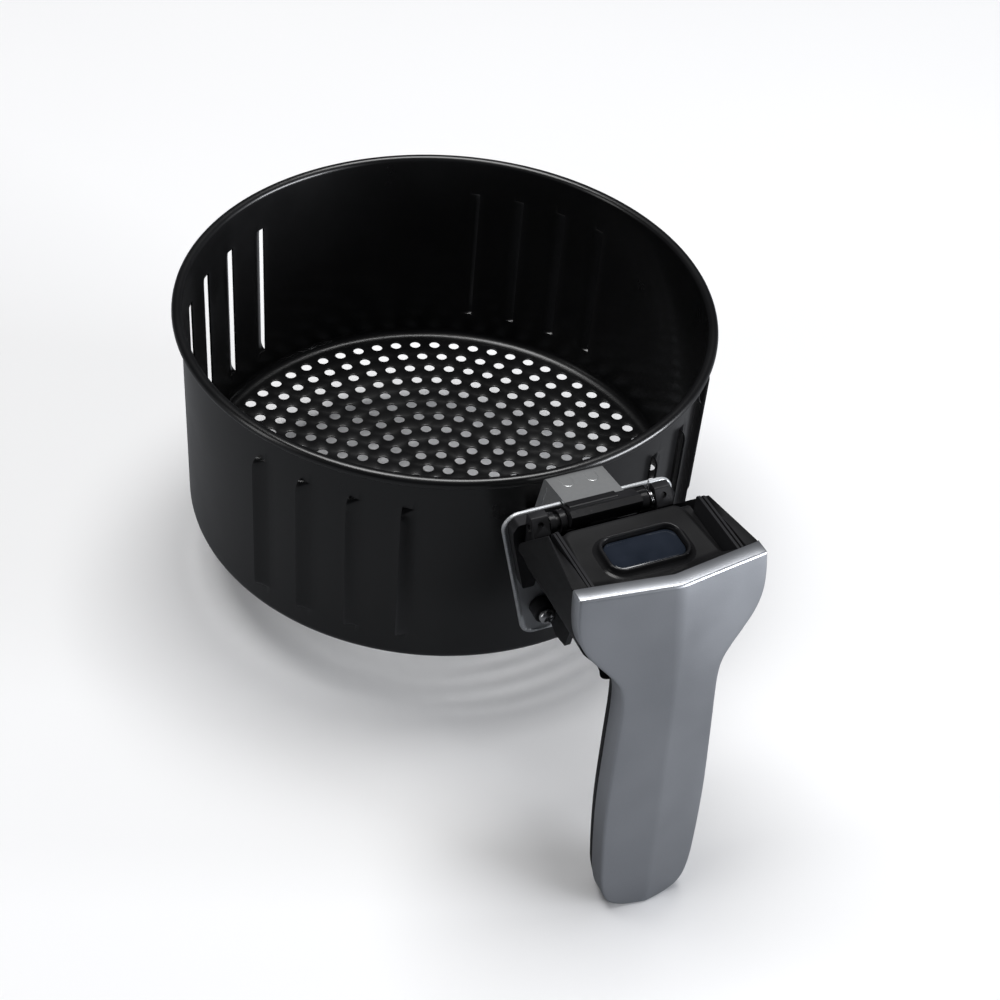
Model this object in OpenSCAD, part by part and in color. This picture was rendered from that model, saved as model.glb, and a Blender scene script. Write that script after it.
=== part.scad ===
// Round air fryer basket with a bolted front handle.
// Origin: centre of the underside of the basket floor. +Z up, the handle points along -Y.
// In side views "out" is the distance from the basket axis towards the handle, so y = -out.

/* [Basket] */
// Outer diameter over the rolled rim
rim_d = 210; // [190:1:230]
// Height of the centre of the rolled rim above the underside of the floor
rim_h = 92; // [84:1:100]
// Section diameter of the rolled rim
bead_d = 4.4; // [3.6:0.1:4.8]
// Thickness of the drawn steel sheet
sheet_t = 0.8; // [0.6:0.1:1]
// Outer radius of the corner between wall and floor
corner_r = 5; // [4:0.5:6]
// Number of rings of holes in the floor; ring k has 6k holes
hole_rings = 11; // [8:1:11]
// Distance between two rings of floor holes
ring_pitch = 8.4; // [8:0.1:8.4]
// Diameter of a floor hole
hole_d = 4.6; // [3:0.1:5]

/* [Louvres] */
// Louvres in each of the four groups
louvres_per_group = 4; // [2:1:5]
// Angle between two louvres of a group
louvre_step = 11; // [9:0.5:11]
// Length of a louvre
louvre_len = 64; // [50:1:68]
// How far the free edge stands out from the wall
louvre_out = 2.8; // [2:0.1:3]
// Width of a louvre from its bend to its free edge
louvre_w = 5.6; // [5:0.1:6.5]

/* [Bracket and plate] */
// Width of the bent bracket
bracket_w = 21.6; // [20:0.2:22]
// Thickness of the bracket sheet
bracket_t = 1.2; // [1:0.1:1.4]
// Distance from the basket axis to the back of the mounting plate
plate_out = 124; // [123.5:0.1:124.2]
// Thickness of the mounting plate
plate_t = 1; // [0.8:0.1:1]
// Width of the mounting plate at its top
plate_top_w = 67; // [64:1:68]
// Width of the mounting plate at its bottom
plate_low_w = 40; // [38:1:42]
// Distance between the two stop bushes
bush_gap = 29; // [28:0.5:29]

/* [Latch] */
// Diameter of the lever pin
pin_d = 3; // [2.8:0.1:3.2]
// Travel of the release button
press = 3.5; // [2:0.5:3.5]
// Length of the glossy button
button_l = 26.4; // [25:0.2:27]
// Width of the glossy button
button_w = 13.2; // [12:0.2:13.6]

/* [Handle] */
// Lowest point of the grip, below the underside of the basket floor
grip_drop = 29.5; // [20:0.5:32]
// Angle of each half of the front cover away from flat
facet_angle = 8.2; // [6:0.1:9]
// Depth of the painted front cover
cover_depth = 6.2; // [5.8:0.1:6.6]
// Depth of the grip over both shells
grip_depth = 16; // [15.6:0.1:16.6]
// Wall thickness of the moulded covers
wall = 2; // [1.6:0.1:2.2]

/* [Hidden] */

steel_black = [0.06, 0.06, 0.07];
plastic_black = [0.09, 0.09, 0.1];
steel_bright = [0.75, 0.76, 0.78];
paint_silver = [0.58, 0.6, 0.66];

rim_r = rim_d / 2;
bead_r = bead_d / 2;
bead_mid = rim_r - bead_r;
wall_r = bead_mid - bead_r + 0.1 + sheet_t;
louvre_low = 13.5;
louvre_high = louvre_low + louvre_len;

// Handle levels, measured up from the floor
pin_out = 132.5;
pin_z = rim_h + 8;
tray_z = rim_h + 17.5;
crest_z = rim_h + 20;
button_out = 163.2;
bush_z = rim_h - 38.5;
head_screw_x = 5;
head_screw_levels = [rim_h - 14, rim_h - 42];
cover_top = rim_h + 25;

eps = 0.01;

// ---------- small helpers ----------

// Extrudes a side view, drawn as [out, z], over a width centred on the handle plane
module across(width, shift = 0)
    translate([shift, 0, 0]) mirror([0, 1, 0]) rotate([90, 0, 90])
        linear_extrude(height = width, center = true) children();

// Extrudes a front view, drawn as [x, z], from out = near to out = far
module facing(near, far)
    translate([0, -near, 0]) rotate([90, 0, 0])
        linear_extrude(height = far - near) children();

module both_sides() {
    children();
    mirror([1, 0, 0]) children();
}

// Convex outline with rounded corners; the centres run counterclockwise
function unit(v) = v / norm(v);
function side_of(v) = [v[1], -v[0]];
function wrap(list, i) = list[(i + len(list)) % len(list)];
module rounded(centres, r) {
    polygon([for (i = [0 : len(centres) - 1], k = [0, 1])
        centres[i] + r * side_of(unit(k == 0
            ? centres[i] - wrap(centres, i - 1)
            : wrap(centres, i + 1) - centres[i]))]);
    for (c = centres) translate(c) circle(r = r, $fn = 32);
}

function box_centres(w, h, r, mid) =
    [[mid[0] - w / 2 + r, mid[1] - h / 2 + r], [mid[0] + w / 2 - r, mid[1] - h / 2 + r],
     [mid[0] + w / 2 - r, mid[1] + h / 2 - r], [mid[0] - w / 2 + r, mid[1] + h / 2 - r]];

// Sheet strip bent along a line of points, seen from the side
module strip(points, t) {
    for (i = [0 : len(points) - 2]) {
        along = points[i + 1] - points[i];
        translate(points[i]) rotate(atan2(along[1], along[0]))
            translate([0, -t / 2]) square([norm(along), t]);
    }
    for (i = [1 : len(points) - 2]) translate(points[i]) circle(d = t, $fn = 24);
}

// Smooth curve through points, three steps to a stretch
function curve(p, steps = 3) = concat([for (i = [0 : len(p) - 2], k = [0 : steps - 1])
    let (a = p[max(i - 1, 0)], b = p[i], c = p[i + 1], d = p[min(i + 2, len(p) - 1)], t = k / steps)
    0.5 * (2 * b + (c - a) * t + (2 * a - 5 * b + 4 * c - d) * t * t
        + (3 * b - a - 3 * c + d) * t * t * t)], [p[len(p) - 1]]);

// Wire coil along +Z: one closed tube swept along a helix, with a straight leg on its last ring
module coil(r, wire, height, turns, leg = 0) {
    per_turn = 12;
    rings = round(turns * per_turn);
    sides = 6;
    points = [for (i = [0 : rings + 1], k = [0 : sides - 1])
        let (j = min(i, rings), a = 360 * j / per_turn, b = 360 * k / sides,
             rr = r + wire / 2 * cos(b), run = i > rings ? leg : 0)
        [rr * cos(a) - run * sin(a), rr * sin(a) + run * cos(a),
         wire / 2 + (height - wire) * j / rings + wire / 2 * sin(b)]];
    last = leg > 0 ? rings + 1 : rings;
    quads = [for (i = [0 : last - 1], k = [0 : sides - 1])
        [i * sides + k, (i + 1) * sides + k,
         (i + 1) * sides + (k + 1) % sides, i * sides + (k + 1) % sides]];
    polyhedron(points, concat(quads,
        [[for (k = [0 : sides - 1]) k]],
        [[for (k = [sides - 1 : -1 : 0]) last * sides + k]]), convexity = 8);
}

// Screw along -Y with its head at out = seat; the tip points back to the basket
module screw(x, seat, z, d, length, head_d, head_h, drive_d) {
    translate([x, -seat, z]) rotate([90, 0, 0]) difference() {
        union() {
            translate([0, 0, -length]) cylinder(d = d, h = length + eps, $fn = 24);
            cylinder(d = head_d, h = head_h, $fn = 32);
        }
        translate([0, 0, head_h - 1]) cylinder(d = drive_d, h = 2, $fn = 6);
    }
}

// ---------- basket ----------

module floor_holes() {
    circle(d = hole_d, $fn = 24);
    for (k = [1 : hole_rings], j = [0 : 6 * k - 1])
        rotate(-90 + 360 * j / (6 * k)) translate([k * ring_pitch, 0]) circle(d = hole_d, $fn = 24);
}

// Section of the drawn shell from the flat floor to the rolled rim, as [r, z]
module shell_section() {
    flat_r = wall_r - corner_r;
    translate([flat_r - 1, 0]) square([1, sheet_t]);
    intersection() {
        translate([flat_r, corner_r]) difference() {
            circle(r = corner_r, $fn = 48);
            circle(r = corner_r - sheet_t, $fn = 48);
        }
        translate([flat_r, 0]) square([corner_r, corner_r]);
    }
    translate([wall_r - sheet_t, corner_r]) square([sheet_t, rim_h - corner_r]);
    translate([bead_mid, rim_h]) difference() {
        circle(r = bead_r, $fn = 48);
        circle(r = bead_r - sheet_t, $fn = 48);
        rotate(-90) translate([0, -0.9]) square([bead_r + 1, 0.8]);
    }
}

// Louvre with its free edge at x = 0, bent away from the wall towards +X
module louvre_sheet() {
    linear_extrude(height = louvre_len)
        polygon([[-louvre_w - 0.6, -0.5], [0, louvre_out], [0, louvre_out - sheet_t],
                 [-louvre_w + 1, -0.62], [-louvre_w, -0.75]]);
    for (z = [0, louvre_len - sheet_t]) translate([0, 0, z])
        linear_extrude(height = sheet_t)
            polygon([[-louvre_w - 0.5, -0.5], [0, -0.3], [0, louvre_out]]);
}

// The same group of louvres in each quarter of the wall, all opening the same way round
module at_each_louvre() {
    for (quarter = [0 : 3], i = [0 : louvres_per_group - 1]) {
        a = 47.5 + (i - (louvres_per_group - 1) / 2) * louvre_step;
        rotate(90 * quarter - a) translate([wall_r, 0, louvre_low]) rotate(-90) children();
    }
}

module basket() color(steel_black) {
    difference() {
        union() {
            rotate_extrude($fn = 180) shell_section();
            linear_extrude(height = sheet_t) difference() {
                circle(r = wall_r - corner_r - 1, $fn = 180);
                floor_holes();
            }
        }
        at_each_louvre() translate([-louvre_w + 1, -2, sheet_t])
            cube([louvre_w - 1, 4, louvre_len - 2 * sheet_t]);
    }
    at_each_louvre() louvre_sheet();
}

// ---------- bracket, plate and what is fixed to them ----------

bracket_back = [112, rim_h + 7.6];
bracket_front = [128.5, rim_h + 10.2];
bracket_knee = [107.6, rim_h - 9.5];
bracket_heel = [wall_r + 0.1 + bracket_t / 2, rim_h - 15];
bracket_foot = [wall_r + 0.1 + bracket_t / 2, rim_h - 32];

// Channel that leaves the wall under the rim, rises past it and reaches over to the plate
module handle_bracket() color(steel_bright) {
    across(bracket_w)
        strip([bracket_foot, bracket_heel, bracket_knee, bracket_back, bracket_front], bracket_t);
    both_sides() across(bracket_t, bracket_w / 2 - bracket_t / 2)
        polygon([bracket_foot, bracket_heel, bracket_knee, bracket_back,
                 [plate_out, bracket_front[1] - 0.7], [plate_out, rim_h - 8],
                 [bracket_foot[0] + 3, bracket_foot[1]]]);
}

plate_r = 6;
plate_high = rim_h + 10.3;
plate_low = rim_h - 52.5;
function plate_corners() =
    [[-plate_low_w / 2 + plate_r, plate_low + plate_r], [plate_low_w / 2 - plate_r, plate_low + plate_r],
     [plate_top_w / 2 - plate_r, plate_high - plate_r], [-plate_top_w / 2 + plate_r, plate_high - plate_r]];

module mounting_plate() color(steel_bright) difference() {
    union() {
        facing(plate_out, plate_out + plate_t) rounded(plate_corners(), plate_r);
        facing(plate_out, plate_out + plate_t + 0.6) difference() {
            rounded(plate_corners(), plate_r);
            rounded(plate_corners(), plate_r - 1.3);
        }
    }
    facing(plate_out - 1, plate_out + 3) translate([-bracket_w / 2, rim_h]) square([bracket_w, 20]);
    both_sides() facing(plate_out - 1, plate_out + 3) {
        translate([bush_gap / 2, bush_z]) circle(d = 3.6, $fn = 24);
        translate(ear_screw) circle(d = 3.2, $fn = 24);
        for (z = head_screw_levels) translate([head_screw_x, z]) circle(d = 3.6, $fn = 24);
    }
}

module weld_nuts() color(steel_bright) both_sides()
    facing(plate_out - 3.2, plate_out) translate([bush_gap / 2, bush_z]) difference() {
        circle(d = 8.4, $fn = 6);
        circle(d = 3.4, $fn = 24);
    }

carrier_near = plate_out + plate_t + 0.65;
carrier_far = carrier_near + 4.5;
ear_in = 19.9;
ear_out = 25.9;
ear_screw = [24, rim_h + 1];

// Moulded frame in front of the plate: two legs, a web, and the ears that hold the pin
module latch_carrier() color(plastic_black) difference() {
    union() {
        facing(carrier_near, carrier_far) {
            translate([-24, rim_h - 7]) square([48, 6.5]);
            both_sides() polygon([[20.3, rim_h - 23], [24.6, rim_h - 23], [30, rim_h + 1],
                                  [30.4, rim_h + 5], [28.8, rim_h + 8], [ear_in, rim_h + 8],
                                  [ear_in, rim_h - 1], [17.5, rim_h - 6]]);
        }
        both_sides() across(ear_out - ear_in, (ear_in + ear_out) / 2)
            rounded([[carrier_near + 1.5, rim_h + 0.5], [pin_out + 3, rim_h + 0.5],
                     [pin_out + 3, rim_h + 6.5], [carrier_near + 1.5, rim_h + 6.5]], 1.5);
        both_sides() across(ear_out - ear_in, (ear_in + ear_out) / 2)
            rounded([[pin_out - 1.5, rim_h + 0.5], [pin_out + 3, rim_h + 0.5], [pin_out + 3, rim_h + 6.8],
                     [pin_out - 0.2, rim_h + 11.1], [pin_out - 1.5, rim_h + 11.1]], 1.5);
    }
    across(2 * ear_out + 2) translate([pin_out, pin_z]) circle(d = pin_d, $fn = 32);
    facing(carrier_near - 1, plate_out + 9.5) both_sides() translate(ear_screw) circle(d = 3, $fn = 24);
}

module stop_bushes() color(plastic_black) both_sides()
    facing(plate_out + plate_t, plate_out + plate_t + 6) translate([bush_gap / 2, bush_z])
        difference() {
            circle(d = 8.4, $fn = 40);
            circle(d = 3.6, $fn = 24);
        }

module bush_screws() color(steel_bright) both_sides()
    screw(bush_gap / 2, plate_out + plate_t + 6, bush_z, 3.4, 9.8, 6, 3.2, 2.6);

// Screw that goes in from behind the plate, pointing along -Y
module rear_screw(x, z, d, length, head_d) translate([x, -plate_out, z]) rotate([90, 0, 0])
    difference() {
        union() {
            translate([0, 0, -2]) cylinder(d = head_d, h = 2, $fn = 32);
            cylinder(d = d, h = length, $fn = 24);
        }
        translate([0, 0, -3]) cylinder(d = 2.6, h = 1.8, $fn = 6);
    }

module carrier_screws() color(steel_bright) both_sides()
    rear_screw(ear_screw[0], ear_screw[1], 3, 9, 5.6);

module head_screws() color(steel_bright) both_sides() for (z = head_screw_levels)
    rear_screw(head_screw_x, z, 3.4, 11, 6);

// ---------- latch ----------

module lever_pin() color(steel_bright)
    across(2 * ear_out - 0.6) translate([pin_out, pin_z]) circle(d = pin_d, $fn = 32);

lever_half = ear_in - 0.4;
spring_wire = 0.5;
spring_len = 1.9;
groove_in = 17.4;
arm_far = 168;

// Bar on the pin, arm under the button and hook that reaches back behind the plate
module latch_lever() color(plastic_black) difference() {
    union() {
        across(2 * groove_in) {
            translate([pin_out, pin_z]) circle(r = 4, $fn = 40);
            translate([pin_out - 3, pin_z]) square([3, 4.6]);
        }
        across(26.6) polygon([[pin_out - 1, pin_z - 1], [pin_out + 5.4, pin_z + 1.4],
                              [pin_out + 5.3, pin_z + 5.3], [pin_out + 3, pin_z + 6.5],
                              [pin_out - 3.2, pin_z + 3.8], [pin_out - 3, pin_z + 1]]);
        across(lever_half - groove_in - 0.8, -(groove_in + lever_half + 0.8) / 2)
            translate([pin_out, pin_z]) circle(r = 3.6, $fn = 40);
        across(2 * lever_half) translate([pin_out, pin_z]) circle(r = 2.4, $fn = 32);
        across(10) polygon([[pin_out, pin_z - 3.9], [arm_far, rim_h + 3.8], [arm_far, rim_h + 8],
                            [158.5, rim_h + 8], [156.5, rim_h + 6.8], [136.5, rim_h + 6.8],
                            [pin_out + 3, pin_z]]);
        across(12) polygon([[pin_out, pin_z - 3.4], [pin_out, pin_z - 6.6], [118, rim_h + 1.4],
                            [118, rim_h - 7], [120.6, rim_h - 8.2], [120.6, rim_h - 11],
                            [115, rim_h - 11], [115, rim_h + 4.4]]);
    }
    across(2 * lever_half + 2) translate([pin_out, pin_z]) circle(d = pin_d + 0.1, $fn = 32);
}

// Torsion spring beside the right ear: its coil lies round the pin, one end stands up the ear
module latch_spring() color(steel_bright) translate([groove_in + 0.2, -pin_out, pin_z])
    rotate([0, 90, 0]) coil(3.05, spring_wire, spring_len, 2.25, leg = 5.4);

// ---------- head ----------

// Side view of the head: steep rear edge, nearly level top, underside that sweeps down to the grip
module head_side(inset = 0) polygon([
    [131.5 + inset / 2, rim_h + 1.2 - inset], [151.4 + inset, rim_h + 22.8 - inset],
    [176, rim_h + 24.2 - inset], [188, rim_h + 24.4 - inset],
    [188, rim_h - 24 + inset],
    [176, rim_h - 22 + inset], [169, rim_h - 17 + inset], [160, rim_h - 10 + inset],
    [148, rim_h - 4.6 + inset], [131.5 + inset / 2, rim_h - 3.2 + inset]]);

// Front view of the head, narrower towards the grip
head_edge = [[17, -30], [19, -14], [26, -5], [30.5, 3], [33, 26]];
module head_front(inset = 0) polygon(concat(
    [for (p = head_edge) [p[0] - inset, rim_h + p[1]]],
    [for (i = [len(head_edge) - 1 : -1 : 0]) [inset - head_edge[i][0], rim_h + head_edge[i][1]]]));

// Plan view of the head, a little wider towards the front
module head_plan(inset = 0) polygon([
    [-28.6 + inset, -131], [28.6 - inset, -131], [33.4 - inset, -188], [-33.4 + inset, -188]]);

module head_block(inset) intersection() {
    across(80) head_side(inset);
    facing(120, 190) head_front(inset);
    translate([0, 0, rim_h - 40]) linear_extrude(height = 80) head_plan(inset);
}

// Side view of the rib under the head: a tall foot on the plate and a brace up to the head
rib_near = plate_out + plate_t + 0.05;
rib_side = [[rib_near, rim_h - 7.8], [rib_near, rim_h - 50], [130, rim_h - 52],
    [137, rim_h - 50.5], [139, rim_h - 42], [147, rim_h - 22], [160, rim_h - 10.5],
    [160, rim_h - 9], [148, rim_h - 3.8], [131.6, rim_h - 2.4], [131.6, rim_h - 7.8]];
rib_half = 9;

module head_rib() {
    both_sides() across(2.4, rib_half - 1.2) polygon(rib_side);
    facing(rib_near, rib_near + 3) translate([-rib_half, rim_h - 50]) square([2 * rib_half, 42]);
    both_sides() for (z = head_screw_levels) facing(rib_near, plate_out + 12)
        translate([head_screw_x, z]) circle(d = 6.4, $fn = 32);
}

tray_half = 27.5;

// Plan of the opening in the top of the head, a little narrower beside the ears
module head_opening() polygon([
    [-ear_out - 0.4, -120], [ear_out + 0.4, -120], [ear_out + 0.4, -138], [tray_half + 0.4, -138.5],
    [tray_half + 0.4, -200], [-tray_half - 0.4, -200], [-tray_half - 0.4, -138.5], [-ear_out - 0.4, -138]]);

module head_housing() color(plastic_black) difference() {
    union() {
        difference() {
            head_block(0);
            head_block(wall);
            translate([0, 0, rim_h + 3]) linear_extrude(height = 40) head_opening();
            facing(120, 140) translate([-ear_out - 0.4, rim_h - 1.2]) square([2 * ear_out + 0.8, 12]);
        }
        // Seat for the tab of the grip core
        intersection() {
            across(14) translate([165, rim_h - 24]) square([10, 13.95]);
            head_block(0);
        }
        head_rib();
    }
    // Front edge that meets the folded cover, and the corner left for the grip shell
    folded_band(-30, cover_depth + 0.05);
    intersection() {
        folded_band(-30, grip_depth + 0.1);
        translate([-40, -220, -60]) cube([80, 60, shell_high + 0.2 + 60]);
    }
    across(13) translate([175, rim_h - 40]) square([20, 34]);
    both_sides() for (z = head_screw_levels) facing(120, plate_out + 11)
        translate([head_screw_x, z]) circle(d = 3.4, $fn = 24);
    for (x = [-core_screw_x, core_screw_x]) translate([x, -170, rim_h - 16]) cylinder(d = 2.6, h = 8, $fn = 24);
}

rail_side = [[149.2, rim_h + 15.6], [149.8, rim_h + 22.8], [184, rim_h + 23.8], [184, rim_h + 15.6]];
post_z = rim_h + 9.7;
post_places = [for (x = [-21.5, 21.5], y = [-170, -152]) [x, y]];

// Moulded top: tray floor, front lip, raised collar round the button and the two side rails
module head_tray() color(plastic_black) difference() {
    union() {
        across(2 * tray_half) strip([[140.4, rim_h + 9], [147.6, tray_z - wall / 2],
            [172.6, tray_z - wall / 2], [176.2, rim_h + 22.6], [188, rim_h + 23.4]], wall);
        both_sides() across(2, tray_half - 1) polygon(rail_side);
        translate([0, 0, tray_z - 1]) linear_extrude(height = crest_z - tray_z + 1)
            rounded(box_centres(button_l + 2.6, button_w + 2.6, 5, [0, -button_out]), 5);
        for (p = post_places) translate([p[0], p[1], post_z])
            cylinder(d = 5, h = tray_z - 1 - post_z, $fn = 32);
    }
    translate([0, 0, tray_z - 5]) linear_extrude(height = 20)
        rounded(box_centres(button_l + 0.7, button_w + 0.7, 4.2, [0, -button_out]), 4.2);
    for (p = post_places) translate([p[0], p[1], post_z - 1]) cylinder(d = 1.8, h = 6, $fn = 24);
    folded_band(-30, cover_depth + 0.05);
}

guide_t = 2;
guide_z = post_z - guide_t;

spring_foot = guide_z - 1.4;
spring_x = 10.6;

// Frame screwed under the tray, with two cups for the button springs
module button_guide() color(plastic_black) difference() {
    union() {
        translate([0, 0, guide_z]) linear_extrude(height = guide_t) difference() {
            rounded(box_centres(48, 24, 3, [0, -161]), 3);
            rounded(box_centres(12.6, 15.6, 1, [0, -button_out]), 1);
        }
        both_sides() translate([spring_x, -button_out, spring_foot - 1])
            cylinder(d = 7.2, h = guide_z - spring_foot + 1.5, $fn = 32);
    }
    both_sides() translate([spring_x, -button_out, spring_foot]) cylinder(d = 5.4, h = 5, $fn = 32);
    for (p = post_places) translate([p[0], p[1], guide_z - 1]) cylinder(d = 2.4, h = 4, $fn = 24);
}

module guide_screws() color(steel_bright) for (p = post_places) translate([p[0], p[1], guide_z])
    difference() {
        union() {
            translate([0, 0, -1.4]) cylinder(d = 4.2, h = 1.4, $fn = 32);
            cylinder(d = 1.8, h = 6, $fn = 24);
        }
        translate([0, 0, -2]) cylinder(d = 2, h = 1.2, $fn = 6);
    }

button_top = crest_z - 1.5;
flange_z = tray_z - wall - 2;

module release_button() color([0.05, 0.07, 0.1]) {
    translate([0, 0, flange_z]) linear_extrude(height = button_top - flange_z)
        rounded(box_centres(button_l, button_w, 3.9, [0, -button_out]), 3.9);
    translate([0, 0, flange_z]) linear_extrude(height = 1.6)
        rounded(box_centres(button_l + 4, button_w + 3, 3, [0, -button_out]), 3);
    translate([0, -button_out, rim_h + 8.3]) cylinder(d = 6, h = flange_z - rim_h - 8.3 + eps, $fn = 40);
}

// Two small springs between the cups of the guide and the button's flange
module button_spring() color(steel_bright) both_sides()
    translate([spring_x, -button_out, spring_foot]) coil(2, 0.5, flange_z - spring_foot, 4);

// ---------- grip ----------

// Front face of the cover seen from the side: straight down the grip, curving back at the head
function front_out(z) = 202.2 - 0.073 * (z + 27) - 0.00125 * pow(max(0, z - 60), 2);
levels = [cover_top, 108, 100, 92, 84, 76, 68, 60, -grip_drop];

// Band between two depths behind the front face, seen from the side
module depth_band(near, far) polygon(concat(
    [for (z = levels) [front_out(z) - near, z]],
    [for (i = [len(levels) - 1 : -1 : 0]) [front_out(levels[i]) - far, levels[i]]]));

// The same band folded along the crease, each half turned back by the facet angle
module folded_band(near, far) {
    pivot = 190;
    both_sides() intersection() {
        translate([0, -220, -60]) cube([50, 60, 200]);
        translate([0, -pivot, 0]) rotate([0, 0, facet_angle]) translate([0, pivot, 0])
            across(120) depth_band(near, far);
    }
}

// Half width of the cover: broad head, waist, slightly swelling grip and rounded end
half_edge = [[33.2, cover_top], [33.6, rim_h + 16], [32.8, rim_h + 9], [30.2, rim_h + 3],
    [26.4, rim_h - 2], [22.2, rim_h - 7], [19.2, rim_h - 11.5], [17.8, rim_h - 17],
    [17.6, rim_h - 26], [18.3, rim_h - 46], [19, rim_h - 72], [18.4, rim_h - 96],
    [17.2, 11.5 - grip_drop], [14.5, 4 - grip_drop], [9, 0.8 - grip_drop], [0, -grip_drop]];

module cover_outline(inset = 0) {
    edge = curve(half_edge);
    points = [for (p = edge) [max(p[0] - inset, 0), min(max(p[1], inset - grip_drop), cover_top - inset)]];
    polygon(concat(points, [for (i = [len(points) - 2 : -1 : 0]) [-points[i][0], points[i][1]]]));
}

module front_cover() color(paint_silver) {
    difference() {
        intersection() {
            folded_band(0, cover_depth);
            facing(160, 215) cover_outline();
        }
        intersection() {
            folded_band(wall, cover_depth + 5);
            facing(160, 215) cover_outline(wall);
        }
    }
    // Bosses that take the grip screws
    for (z = grip_screw_levels) boss_at(z);
}

grip_screw_levels = [70, 22, -14];
module boss_at(z) translate([0, -front_out(z) + wall - 0.5, z]) rotate([-90, 0, 0]) difference() {
    cylinder(d = 6.6, h = 6, $fn = 32);
    translate([0, 0, 1]) cylinder(d = 2.6, h = 6, $fn = 24);
}

// Depths behind the front face: screw head seat, and the middle of the core
head_seat = 13.2;
core_depth = 10;
core_screw_x = 3.6;

shell_high = rim_h - 11;
module grip_back_shell() color(plastic_black) difference() {
    union() {
        difference() {
            intersection() {
                folded_band(cover_depth + 0.05, grip_depth);
                facing(160, 215) cover_outline(0.6);
                translate([-40, -220, -60]) cube([80, 60, shell_high + 60]);
            }
            intersection() {
                folded_band(cover_depth - 5, grip_depth - wall);
                facing(160, 215) cover_outline(0.6 + wall);
            }
        }
        for (z = grip_screw_levels) translate([0, -front_out(z) + grip_depth - 0.8, z])
            rotate([90, 0, 0]) cylinder(d = 8.4, h = grip_depth - 0.8 - 11.6, $fn = 32);
    }
    for (z = grip_screw_levels) translate([0, -front_out(z) + 22, z]) rotate([90, 0, 0]) {
        cylinder(d = 2.8, h = 12, $fn = 24);
        cylinder(d = 6.2, h = 22 - head_seat, $fn = 32);
    }
}

// Flat steel strip that stiffens the grip; its tab is screwed inside the head
core_levels = [rim_h - 9, 60, 4 - grip_drop];
module grip_core() color(steel_bright) difference() {
    across(12) strip(concat([[166, rim_h - 9]], [for (z = core_levels) [front_out(z) - core_depth, z]]), 2);
    for (z = grip_screw_levels) translate([0, -front_out(z) + 22, z]) rotate([90, 0, 0])
        cylinder(d = 7.2, h = 20, $fn = 32);
    for (x = [-core_screw_x, core_screw_x]) translate([x, -170, rim_h - 12]) cylinder(d = 2.8, h = 6, $fn = 24);
}

module core_screws() color(steel_bright) for (x = [-core_screw_x, core_screw_x])
    translate([x, -170, rim_h - 8]) difference() {
        union() {
            cylinder(d = 5, h = 1.8, $fn = 32);
            translate([0, 0, -7]) cylinder(d = 2.6, h = 7 + eps, $fn = 24);
        }
        translate([0, 0, 0.8]) cylinder(d = 2.2, h = 2, $fn = 6);
    }

module grip_screws() color(steel_bright) for (z = grip_screw_levels)
    translate([0, -front_out(z) + head_seat + 2, z]) rotate([90, 0, 0]) difference() {
        union() {
            cylinder(d = 5.6, h = 2, $fn = 32);
            cylinder(d = 2.6, h = 11.6, $fn = 24);
        }
        translate([0, 0, -1]) cylinder(d = 2.4, h = 2, $fn = 6);
    }

basket();
handle_bracket();
mounting_plate();
weld_nuts();
latch_carrier();
stop_bushes();
bush_screws();
carrier_screws();
head_screws();
lever_pin();
latch_lever();
latch_spring();
head_housing();
button_guide();
guide_screws();
head_tray();
release_button();
button_spring();
front_cover();
grip_back_shell();
grip_core();
core_screws();
grip_screws();
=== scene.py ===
"""Looks of a round air fryer basket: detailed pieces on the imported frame, studio light and camera.

Lengths in this script are millimetres in the row frame, and become metres when a mesh is made.
"out" is the distance from the basket's axis towards the handle, so y = -out.
"""

import math

import bmesh
import bpy
from mathutils import Matrix, Vector
from mathutils.geometry import delaunay_2d_cdt


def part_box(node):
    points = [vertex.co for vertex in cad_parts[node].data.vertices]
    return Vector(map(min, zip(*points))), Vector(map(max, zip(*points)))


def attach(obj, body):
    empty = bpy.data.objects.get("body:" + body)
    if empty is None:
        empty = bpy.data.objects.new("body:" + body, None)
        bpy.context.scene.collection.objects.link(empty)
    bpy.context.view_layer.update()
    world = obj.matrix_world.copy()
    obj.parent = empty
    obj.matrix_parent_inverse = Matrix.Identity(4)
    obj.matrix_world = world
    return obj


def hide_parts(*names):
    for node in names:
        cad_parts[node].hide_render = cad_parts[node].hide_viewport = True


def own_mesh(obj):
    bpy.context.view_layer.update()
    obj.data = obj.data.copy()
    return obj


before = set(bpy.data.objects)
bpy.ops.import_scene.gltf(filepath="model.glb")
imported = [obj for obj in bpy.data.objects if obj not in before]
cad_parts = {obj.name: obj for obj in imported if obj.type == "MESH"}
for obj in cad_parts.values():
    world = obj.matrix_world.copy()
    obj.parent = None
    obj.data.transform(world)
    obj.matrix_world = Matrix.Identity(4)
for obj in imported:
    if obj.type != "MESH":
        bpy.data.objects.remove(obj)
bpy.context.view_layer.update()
MM = 0.001
ROOT, LEVER, BUTTON = "basket_unit", "lever", "button"


def cad_box(node):
    """Lowest and highest corner of a CAD node as (x, out, z), in millimetres."""
    lo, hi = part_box(node)
    return Vector((lo.x, -hi.y, lo.z)) / MM, Vector((hi.x, -lo.y, hi.z)) / MM


# ---------------------------------------------------------------- sizes from the frame

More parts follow.
